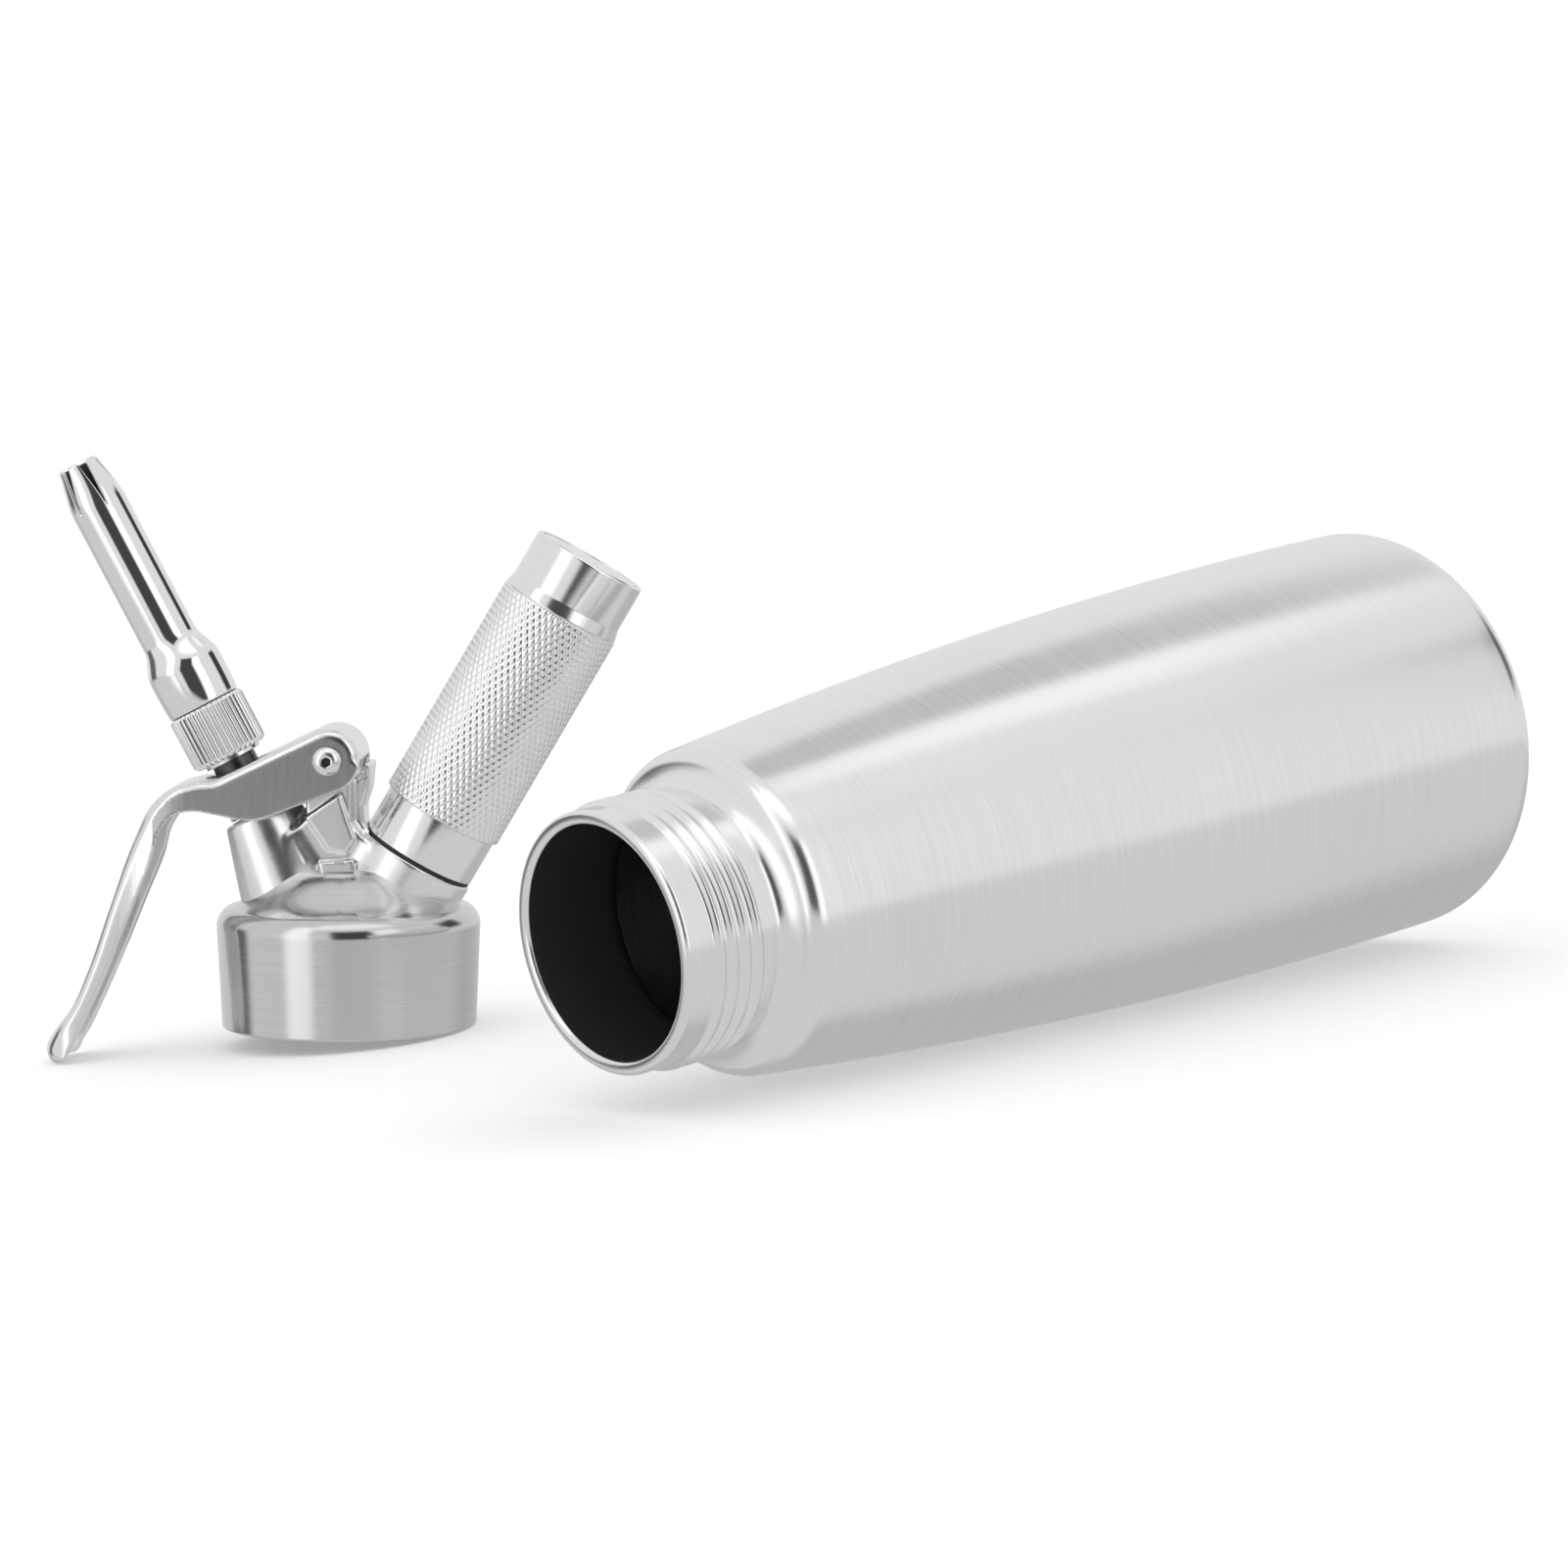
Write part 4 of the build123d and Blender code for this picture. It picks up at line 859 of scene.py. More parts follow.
@dataclass
class HeadBody:
    """Valve tower, lever post and charger port, blended into one polished casting."""

    sizes: HeadSizes = field(default_factory=HeadSizes)
    foot_x: float = -10.8
    foot_z: float = 27.0
    foot_rx: float = 15.2
    foot_ry: float = 13.6
    tower_top: float = 8.0
    tower_top_r: float = 10.6
    facet_in: float = 0.9
    post_half: float = 9.5
    post_end_r: float = 5.3
    rib_half: float = 6.5
    boss_r: float = 14.6
    boss_top: float = -0.45
    stem_way_r: float = 6.2
    valve_room_r: float = 8.8
    spring_room_r: float = 8.0
    seat_r: float = 11.45
    gas_way_r: float = 3.05
    pivot_hole_r: float = 3.51
    blend: float = 2.2
    cell: float = 0.45
    post: tuple = (
        (-14, 38), (-13, 46), (-8.6, 51), (-8.6, 65.2), (2, 65.2),
        (1.6, 58), (1.6, 50), (6, 44), (8, 34),
    )
    rib: tuple = (
        (-2, 34), (-2, 58), (5, 61.2), (5, 63.8), (6.2, 63.8), (5.6, 58),
        (4.2, 53.6), (4.4, 49.7), (6.6, 46.2), (12, 42.6), (12, 34),
    )
    panel: tuple = ((-13.5, 48.4), (-9.4, 51.6), (-4.6, 43.2), (-9.2, 40.6))
    apron: tuple = (
        (-8.6, 51.4), (-0.9, 56.6), (1.0, 50.5), (2.6, 46.0), (0.6, 43.1), (-3.6, 43.9),
    )
    pad: tuple = ((-5.4, 40.6), (2.6, 41.2), (2.9, 38.4), (-4.6, 37.4))

    def along(self, x: Array, z: Array, px: float, pz: float, tilt: float) -> tuple[Array, Array]:
        """Coordinates across and along an axis that leans by tilt from a point."""
        c, s = np.cos(np.radians(tilt)), np.sin(np.radians(tilt))
        return (x - px) * c - (z - pz) * s, (x - px) * s + (z - pz) * c

    def tower(self, x: Array, y: Array, z: Array) -> Array:
        """Distance to the tower: slices are ellipses that shrink from foot to top."""
        s = self.sizes
        lean = np.radians(s.nozzle_tilt)
        top_x = s.tower_x - self.tower_top * np.sin(lean)
        top_z = s.tower_z + self.tower_top * np.cos(lean)
        u = (z - self.foot_z) / (top_z - self.foot_z)
        middle = self.foot_x + (top_x - self.foot_x) * u
        rx = self.foot_rx + (self.tower_top_r * 1.04 - self.foot_rx) * u
        ry = self.foot_ry + (self.tower_top_r - self.foot_ry) * u
        round_side = (np.hypot((x - middle) / rx, y / ry) - 1.0) * 0.92 * np.minimum(rx, ry)
        _, up = self.along(x, z, s.tower_x, s.tower_z, -s.nozzle_tilt)
        body = both(round_side, up - self.tower_top, 0.9)
        across, _ = self.along(x, z, -29.0 + self.facet_in, 45.6, -10.2)
        return both(body, -across, 0.25)

    def field(self, x: Array, y: Array, z: Array) -> Array:
        """Distance field of the whole casting above the roof."""
        s = self.sizes
        side = np.abs(y)
        end = np.hypot(x - s.pivot_x, z - s.pivot_z) - self.post_end_r
        shaft = joined(outline_distance(self.post, x, z) - 0.4, end, 1.5)
        post = both(shaft, side - self.post_half, 0.7)
        apron = both(outline_distance(self.apron, x, z) - 0.3, side - self.post_half - 1.3, 0.5)
        rib = both(outline_distance(self.rib, x, z) - 0.3, side - self.rib_half, 0.9)
        across, up = self.along(x, z, s.port_x, s.port_z, s.port_tilt)
        low, high = -24.0, self.boss_top
        length = np.abs(up - (low + high) / 2) - (high - low) / 2
        boss = both(np.hypot(across, y) - self.boss_r, length, 0.5)
        body = joined(self.tower(x, y, z), post, self.blend)
        body = joined(body, apron, 0.5)
        body = joined(body, rib, 1.2)
        body = joined(body, boss, self.blend)
        pad = both(outline_distance(self.pad, x, z) - 0.2, side - 13.6, 0.35)
        body = joined(body, pad, 0.4)
        body = without(body, both(outline_distance(self.panel, x, z), 10.4 - side, 0.4), 0.4)
        return self.bored(body, x, y, z)

    def bored(self, body: Array, x: Array, y: Array, z: Array) -> Array:
        """The casting less its cavity, the stem's way, the port's seat and the pivot's hole."""
        s = self.sizes
        across, up = self.along(x, z, s.tower_x, s.tower_z, -s.nozzle_tilt)
        r = np.hypot(across, y)
        body = np.maximum(body, -np.maximum(r - self.stem_way_r, -20.0 - up))
        body = np.maximum(body, -both(r - self.valve_room_r, up + 18.5, 0.1))
        body = np.maximum(body, -both(r - self.spring_room_r, 1.5 - up, 0.1))
        across, up = self.along(x, z, s.port_x, s.port_z, s.port_tilt)
        r = np.hypot(across, y)
        body = np.maximum(body, -np.maximum(r - self.seat_r, self.boss_top - 3.0 - up))
        body = np.maximum(body, -np.maximum(r - self.gas_way_r, self.boss_top - 6.0 - up))
        room = np.maximum(r - self.boss_r, np.maximum(self.boss_top - up, up - 12.0))
        body = np.maximum(body, -room)
        body = np.maximum(body, self.pivot_hole_r - np.hypot(x - s.pivot_x, z - s.pivot_z))
        return both(body, 30.2 - 1.25 * np.clip(np.hypot(x, y) - 15.8, 0.0, 4.0) - z, 0.2)

    def dress(self, stand: Stand, steel: Finished) -> None:
        """Wraps the field in a mesh and dresses it."""
        points, faces = wrap(self.field, (-32.0, -16.0, 21.0), (34.0, 16.0, 73.0), self.cell)
        piece = make_object("head_body", stand.place(points), faces, None, 60.0)
        dress(piece, "head", steel, "head_steel", "head_casting", "lever_post")


# ---------------------------------------------------------------- lever
@dataclass
class Lever:
    """Pressed channel lever with a rolled edge, a slot for the stem and a finger tip."""

    sizes: HeadSizes = field(default_factory=HeadSizes)
    end_r: float = 7.6
    half_width: float = 13.0
    handle_half: float = 10.5
    wall: float = 1.6
    rolled: float = 2.3
    lip: float = 0.55
    plate: float = 26.0
    low_tilt: float = 21.5
    open_angle: float = -56.6
    slot_half_width: float = 6.6
    slot_half_length: float = 9.4
    arm: float = 21.883
    screw_r: float = 2.56
    tip_x: float = -70.5
    tip_z: float = -5.75
    tip_r: float = 3.2
    cell: float = 0.42
    outer: tuple = (
        (-36.2, 59.9), (-41.6, 58.2), (-46.4, 54.0), (-50.0, 47.2),
        (-56.8, 29.4), (-62.4, 13.8), (-66.9, 4.2), (-71.2, -1.2),
    )
    inner: tuple = (
        (-65.0, -2.4), (-61.2, 5.4), (-55.6, 17.9), (-50.2, 30.9), (-46.2, 40.6), (-44.0, 48.0),
        (-41.0, 51.7), (-37.0, 53.0), (-30.4, 52.2), (-24.2, 51.0), (-18.0, 51.6),
    )

    def round_pivot(self, radius: float, start: float, end: float, count: int) -> Array:
        """Arc about the pivot between two angles in degrees."""
        return arc((self.sizes.pivot_x, self.sizes.pivot_z), radius, start, end, count)

    def tip_point(self, angle: float) -> tuple:
        """Point on the round lower edge of the handle."""
        return tuple(arc((self.tip_x, self.tip_z), self.tip_r, angle, angle, 1)[0])

    def top_run(self) -> Array:
        """Outside of the lever from its rear end over the plate to the handle's tip."""
        tilt = np.radians(self.sizes.plate_tilt)
        down = np.array([-np.cos(tilt), -np.sin(tilt)])
        rear = self.round_pivot(self.end_r, self.low_tilt - 90, 90 + self.sizes.plate_tilt, 40)
        bend = rear[-1] + down * self.plate
        points = [tuple(bend), *self.outer, self.tip_point(169)]
        handle = through(points, tuple(down), (-0.2, -1.0), 9)
        return np.vstack([rear, handle])

    def low_run(self, steps: int) -> Array:
        """Lower edge of the lever from the handle's tip to its rear end."""
        low = np.radians(self.low_tilt)
        points = [self.tip_point(-17), *self.inner]
        return through(points, (0.3, 1.0), (np.cos(low), np.sin(low)), steps)

    def side_view(self) -> Array:
        """Closed outline of the lever seen from the side."""
        tip = arc((self.tip_x, self.tip_z), self.tip_r, 169, 343, 14)
        return np.vstack([self.top_run(), tip[1:-1], self.low_run(6)])

    def void_view(self) -> Array:
        """Closed outline of the channel's inside, run out through its open side."""
        radius = self.end_r - self.wall
        run = self.top_run()[40:]
        along = np.gradient(run, axis=0)
        along /= np.linalg.norm(along, axis=1)[:, None]
        inside = run + np.stack([-along[:, 1], along[:, 0]], axis=1) * self.wall
        rear = self.round_pivot(radius, self.open_angle + 90, 90 + self.sizes.plate_tilt, 20)
        way = np.radians(self.open_angle)
        away = np.array([np.cos(way), np.sin(way)]) * 90.0
        return np.vstack([rear, inside, inside[-1:] + away, rear[:1] + away])

    def plan(self) -> Array:
        """Closed outline of the lever seen from above, as (x, y)."""
        w, h = self.half_width, self.handle_half
        half = np.vstack(
            [
                [(14.0, w), (-38.0, w)],
                hermite((-38.0, w), (-54.0, h), (-1, 0), (-1, 0), 12)[1:],
                hermite((-66.0, h), (-75.5, 0.0), (-1, 0), (0, -1), 16),
            ]
        )
        return np.vstack([half, half[-2::-1] * [1, -1]])

    def field(self, x: Array, y: Array, z: Array) -> Array:
        """Distance field of the pressed channel with its slot and holes."""
        view = outline_distance(self.side_view(), x, z)
        plan = outline_distance(self.plan(), x, y)
        low = self.low_distance(x, z)
        edge = self.lip + (self.rolled - self.lip) * smooth_step((low - 1.2) / 2.0)
        body = both(view, plan, edge)
        void = both(outline_distance(self.void_view(), x, z), plan + self.wall, 0.7)
        body = without(body, void, self.lip)
        s = self.sizes
        tilt = np.radians(s.plate_tilt)
        u = (x - s.pivot_x) * np.cos(tilt) + (z - s.pivot_z) * np.sin(tilt) + self.arm
        v = -(x - s.pivot_x) * np.sin(tilt) + (z - s.pivot_z) * np.cos(tilt)
        reach = self.slot_half_length - self.slot_half_width
        slot = np.hypot(np.maximum(np.abs(u) - reach, 0.0), y) - self.slot_half_width
        body = without(body, np.maximum(slot, -v), 0.35)
        return without(body, np.hypot(x - s.pivot_x, z - s.pivot_z) - self.screw_r, 0.1)

    def low_distance(self, x: Array, z: Array) -> Array:
        """Distance to the lever's lower edge, along which the lips are rounded less."""
        rear = self.round_pivot(self.end_r, self.low_tilt - 90, -20.0, 6)
        return run_distance(np.vstack([self.low_run(3), rear]), x, z)

    def dress(self, stand: Stand, steel: Finished, flange_shade: Finished) -> None:
        """Wraps the field in a mesh and dresses it, its flat flanges in a darker copy of the steel: painted shade.
        """
        points, faces = wrap(self.field, (-76.5, -13.8, -10.0), (5.2, 13.8, 73.6), self.cell)
        piece = make_object("lever_channel", stand.place(points), faces, None, 60.0)
        centres, normals = face_places(piece, stand)
        facing = np.abs(normals @ stand.axes[1]) > 0.97
        wide = (centres[:, 0] > -52.0) & (np.abs(centres[:, 1]) > self.half_width - 1.2)
        # sideways flat faces of the flanges get the darker copy of the steel: painted shade
        two_finishes(piece, steel, flange_shade, facing & wide)
        dress(piece, "lever", steel, "lever_steel", "lever")


# ---------------------------------------------------------------- nozzle
@dataclass
class Nozzle:
    """Ribbed nut and the polished tip with its crown of petals."""

    nut_bottom: float = 23.1
    nut_length: float = 13.7
    nut_r: float = 9.6
    recess_r: float = 7.75
    recess_top: float = 25.3
    ribs: int = 36
    rib_depth: float = 0.6
    bell_r: float = 9.25
    bell: float = 13.0
    cone: float = 5.4
    barrel_r: float = 6.85
    barrel: float = 35.5
    crown: float = 11.4
    end_r: float = 4.9
    wall: float = 0.9
    petals: int = 6
    slot_depth: float = 11.8
    slot_width: float = 2.6
    slot_turn: float = -64.5

    def nut(self, stand: Stand, steel: Finished) -> None:
        """Straight-ribbed nut: the radius falls by a rounded groove between ribs."""
        low, high = self.nut_bottom, self.nut_bottom + self.nut_length
        bore_r, way_r, spigot_r = 5.06, 3.2, self.bell_r - self.wall - 0.05
        fine = eased(
            [
                (bore_r, 34.7), (bore_r, self.recess_top),
                (self.recess_r, self.recess_top), (self.recess_r, low),
                (self.nut_r - 1.0, low), (self.nut_r, low + 1.0),
                (self.nut_r, high - 0.7), (self.nut_r - 0.6, high), (spigot_r, high),
                (spigot_r, high + 5.0), (way_r, high + 5.0), (way_r, 35.1), (bore_r, 35.1),
            ],
            0.3,
        )

        def ripple(angle: Array, height: Array, row: Array) -> Array:
            """Grooves between the ribs, only where the nut has its full radius."""
            groove = np.abs(np.sin(angle * self.ribs / 2)) ** 0.8
            radius = fine[row[:, 0], 0][:, None]
            full = smooth_step((radius - (self.nut_r - 1.3)) / 0.9) * (height < high - 0.05)
            return (groove - 1.0) * self.rib_depth * full

        grid = lathe(fine, self.ribs * 10, ripple)
        piece = grid_object("nozzle_ribbed_nut", stand.place(grid), loop=True, crease=48.0)
        dress(piece, "nozzle", steel, "small_steel", "nozzle_nut")

    def skin(self) -> tuple[Array, float]:
        """Outline of the tip's outside as (r, z), and the height of the slots' roots."""
        start = self.nut_bottom + self.nut_length + 0.05
        bell_top = start + self.bell
        cone_top = bell_top + self.cone
        barrel_top = cone_top + self.barrel
        top = barrel_top + self.crown
        root = top - self.slot_depth
        low, high = (self.bell_r - 0.3, start + 0.5), (self.bell_r, bell_top - 3.0)
        cone = (self.bell_r, bell_top - 2.9), (self.barrel_r, cone_top)
        petal = (self.barrel_r, max(barrel_top, root + 0.1)), (self.end_r, top)
        outline = np.vstack(
            [
                [(self.bell_r - 0.75, start), (self.bell_r - 0.35, start + 0.3)],
                hermite(low, high, (0.12, 1), (0, 1), 12),
                hermite(*cone, (0, 1.1), (0, 1.1), 22),
                upright(self.barrel_r, np.linspace(cone_top + 1, root - 0.4, 6)),
                [(self.barrel_r, root)],
                hermite(*petal, (0, 1), (-0.16, 1), 22)[1:],
            ]
        )
        return outline, root

    def tip(self, stand: Stand, steel: Finished, inside: Finished) -> None:
        """Tip as one open skin: the columns draw apart at the slots, then it is thickened.

        In the crown a column's angle is squeezed towards its petal's middle, so that a
        gap opens between two petals, from narrow at its root to the slot's width.
        """
        skin, root = self.skin()
        per_petal, root_gap = 28, 0.125
        columns = self.petals * per_petal
        share = 2 * ((np.arange(per_petal) + 0.5) / per_petal) - 1
        edge = np.linspace(-1.0, 1.0, per_petal)
        half_petal = np.pi / self.petals
        turn = 360.0 / self.petals
        middle = np.radians(self.slot_turn + turn / 2 + turn * np.arange(self.petals))
        r, z = skin[:, 0][:, None, None], skin[:, 1][:, None, None]
        in_crown = z >= root - 1e-6
        rise = np.clip((z - root) / self.slot_depth, 0.0, 1.0)
        half_gap = root_gap + (self.slot_width / 2 - root_gap) * rise
        spread = np.where(in_crown, edge * (half_petal - half_gap / r), share * half_petal)
        angle = (middle[None, :, None] + spread).reshape(len(skin), columns)
        radius = np.repeat(skin[:, :1], columns, axis=1)
        height = np.repeat(skin[:, 1:], columns, axis=1)
        grid = np.stack([radius * np.cos(angle), radius * np.sin(angle), height], axis=2)
        quads = grid_faces(np.arange(len(skin) * columns).reshape(len(skin), columns))
        between = (np.arange(columns) % per_petal == per_petal - 1)[None, :]
        faces = quads[~(between & in_crown[:-1, :, 0])].reshape(-1, 4)
        piece = make_object("nozzle_tip_tube", stand.place(grid.reshape(-1, 3)), faces, None, 50.0)
        piece.data.materials.append(steel)
        # the tube's inner wall gets the near-black finish: painted shade inside the tip
        piece.data.materials.append(inside)
        shell = piece.modifiers.new("wall", "SOLIDIFY")
        shell.material_offset = 1
        shell.thickness = self.wall / 1000.0
        shell.offset = -1.0
        shell.use_even_offset = True
        shell.use_rim = True
        dress(piece, "nozzle", steel, "nozzle_steel", "nozzle_tip")


# ---------------------------------------------------------------- charger holder
@dataclass
class Holder:
    """Charger holder: smooth collar, diamond knurled sleeve, step band and cap."""

    rim: float = 0.45
    bore_r: float = 11.46
    collar_r: float = 14.3
    collar: float = 11.4
    sleeve_r: float = 15.15
    sleeve: float = 57.0
    band_r: float = 14.6
    band: float = 3.0
    cap_r: float = 14.3
    length: float = 83.5
    edge: float = 1.3
    disc_r: float = 12.95
    disc: float = 1.6
    diamonds: int = 54
    pitch: float = 3.0
    depth: float = 0.3

    def knurl(self, angle: Array, height: Array) -> Array:
        """Raised diamonds: two sets of crossed helical grooves, the deeper one counts.

        Each set is the distance to the nearest groove in parts of the pitch, so a diamond
        rises from its four grooves to a flat top.
        """
        a = angle * self.diamonds / (2 * np.pi)
        b = height / self.pitch
        first = np.abs((a + b) % 1.0 - 0.5) * 2.0
        second = np.abs((a - b) % 1.0 - 0.5) * 2.0
        return -self.depth * (1.0 - np.minimum(1.0, 1.5 * (1.0 - np.maximum(first, second))))

    def dress(self, stand: Stand, alloy: Finished, smooth: Finished) -> None:
        """Builds the holder's three outer stretches, each a closed ring."""
        low = self.rim + self.collar
        high = low + self.sleeve
        inner = self.bore_r + 0.2
        rows = np.linspace(low + 0.35, high - 0.35, 210)
        fade = 0.8
        sleeve = np.vstack(
            [
                [(inner, low), (self.sleeve_r - 0.45, low)],
                upright(self.sleeve_r, rows),
                [(self.sleeve_r - 0.45, high), (inner, high)],
            ]
        )

        def ripple(angle: Array, height: Array, row: Array) -> Array:
            """The knurl on the sleeve's skin, fading at both ends."""
            ends = smooth_step((height - low) / fade) * smooth_step((high - height) / fade)
            skin = (row > 1) & (row < len(sleeve) - 2)
            return np.where(skin, self.knurl(angle, height) * ends, 0.0)

        grid = lathe(sleeve, self.diamonds * 8, ripple)
        piece = grid_object("holder_knurled_sleeve", stand.place(grid), loop=True, crease=80.0)
        dress(piece, "holder", alloy, "holder_alloy", "charger_holder")
        collar = eased(
            [
                (self.bore_r, low), (self.bore_r, self.rim), (self.collar_r, self.rim),
                (self.collar_r, low + 0.05), (self.bore_r, low + 0.05),
            ],
            0.28,
        )
        piece = grid_object("holder_collar", stand.place(lathe(collar, 192)), loop=True)
        dress(piece, "holder", smooth, "holder_alloy", "charger_holder")
        band_top, room_r, room_top = high + self.band, 9.6, 70.0
        cut, band_r, disc_z = 0.4 * self.edge, self.band_r + 0.4, self.length - self.disc
        cap = eased(
            [
                (room_r, high - 6.0), (inner, high - 6.0), (inner, high - 0.02),
                (band_r, high - 0.02), (band_r, high + 0.3),
                (self.cap_r + 0.08, band_top - 0.3), (self.cap_r, band_top),
                (self.cap_r, self.length - cut), (self.cap_r - cut, self.length),
                (self.disc_r, self.length), (self.disc_r, disc_z), (0.0, disc_z),
            ],
            0.45,
            7,
        )
        cap = np.vstack([cap, [(0.0, room_top), (room_r, room_top)]])
        piece = grid_object("holder_cap", stand.place(lathe(cap, 192)), loop=True)
        dress(piece, "holder", smooth, "holder_alloy", "charger_holder")


# ---------------------------------------------------------------- pivot screw
@dataclass
class PivotScrew:
    """Pivot screw: a polished dome with a hex socket, and the shank through the lever."""

    sizes: HeadSizes = field(default_factory=HeadSizes)
    face: float = 13.05
    shank_r: float = 2.5
    shank_end: float = -16.05
    head_r: float = 3.6
    height: float = 2.2
    socket_r: float = 1.25
    socket_depth: float = 1.3
    columns: int = 96

    def dress(self, head: Stand, steel: Finished, inside: Finished) -> None:
        """Builds the screw about the pivot, the socket's wall pulled in to a hexagon."""
        x, y, z = head.axes
        pivot = head.moved(self.sizes.pivot_x, 0.0, self.sizes.pivot_z)
        stand = Stand(pivot.origin, np.array([x, z, -y]))
        top = self.face + self.height
        bottom = top - self.socket_depth
        lip, r = self.socket_r + 0.25, self.socket_r
        shank = [
            (self.head_r, self.face + 0.3), (self.head_r, self.face), (self.shank_r, self.face),
            (self.shank_r, self.shank_end), (0.0, self.shank_end),
        ]
        profile = np.vstack(
            [
                [(0.0, bottom), (r - 0.05, bottom), (r, bottom + 0.05), (r, top - 0.1)],
                hermite((lip, top), (self.head_r, self.face + 0.5), (1.0, -0.05), (0.05, -1.0), 14),
                eased(shank, 0.15),
            ]
        )

        def ripple(angle: Array, height: Array, row: Array) -> Array:
            """A hexagon's radius less its corners' radius, on the socket's rows."""
            turn = (angle + np.pi / 6) % (np.pi / 3) - np.pi / 6
            hexagon = self.socket_r * (np.cos(np.pi / 6) / np.cos(turn) - 1.0)
            return np.where((row > 0) & (row < 4), hexagon, 0.0)

        grid = lathe(profile, self.columns, ripple)
        piece = grid_object("lever_pivot_screw", stand.place(grid), loop=False, crease=42.0)
        x, y, up = face_places(piece, stand)[0].T
        deep = (np.hypot(x, y) < self.socket_r + 0.02) & (up > bottom - 0.1)
        # faces of the hex socket get the near-black finish: painted shade in the socket
        two_finishes(piece, steel, inside, deep)
        dress(piece, "head", steel, "small_steel", "lever_screw")


# ---------------------------------------------------------------- small parts
@dataclass
class SmallParts:
    """The carried-over solids, each with the finish of its own kind."""

    finishes: dict[str, Finished]
    nodes: dict[str, tuple] = field(
        default_factory=lambda: {
            "small": (
                "piercing_pin", "lever_nut", "piston_end_screw", "piston_collar",
                "piston_spring", "retaining_clip", "gas_charger",
            ),
            # stem parts in the gap under the lever get near-black steel: painted shade
            "dark": ("piston_stem", "stem_thread"),
            "brass": ("port_nipple", "piston_guide_bush"),
            "faced": ("holder_end_disc",),
            "rubber": (
                "port_o_ring", "pin_gasket", "non_return_valve", "piston_valve_seal",
                "piston_upper_seal", "nozzle_washer",
            ),
            "silicone": ("head_gasket",),
            "plastic": ("lever_bush", "lever_washers"),
        }
    )

    def dress(self) -> None:
        """Puts each node's finish on its material slots."""
        for finish, nodes in self.nodes.items():
            for node in nodes:
                for slot in frame["nodes"][node].material_slots:
                    slot.material = self.finishes[finish]
                log.info("%s: carried over, %s", node, finish)


# ---------------------------------------------------------------- studio
@dataclass(frozen=True)
class Card:
    """A soft box or a dark card in the studio, seen only in reflections.

    turn is its direction from the camera's side, positive to the right, half its half
    width, low and high its height in degrees above the floor line, level its brightness.
    """

    turn: float
    half: float
    low: float
    high: float
    level: float
    soft: float = 6.0


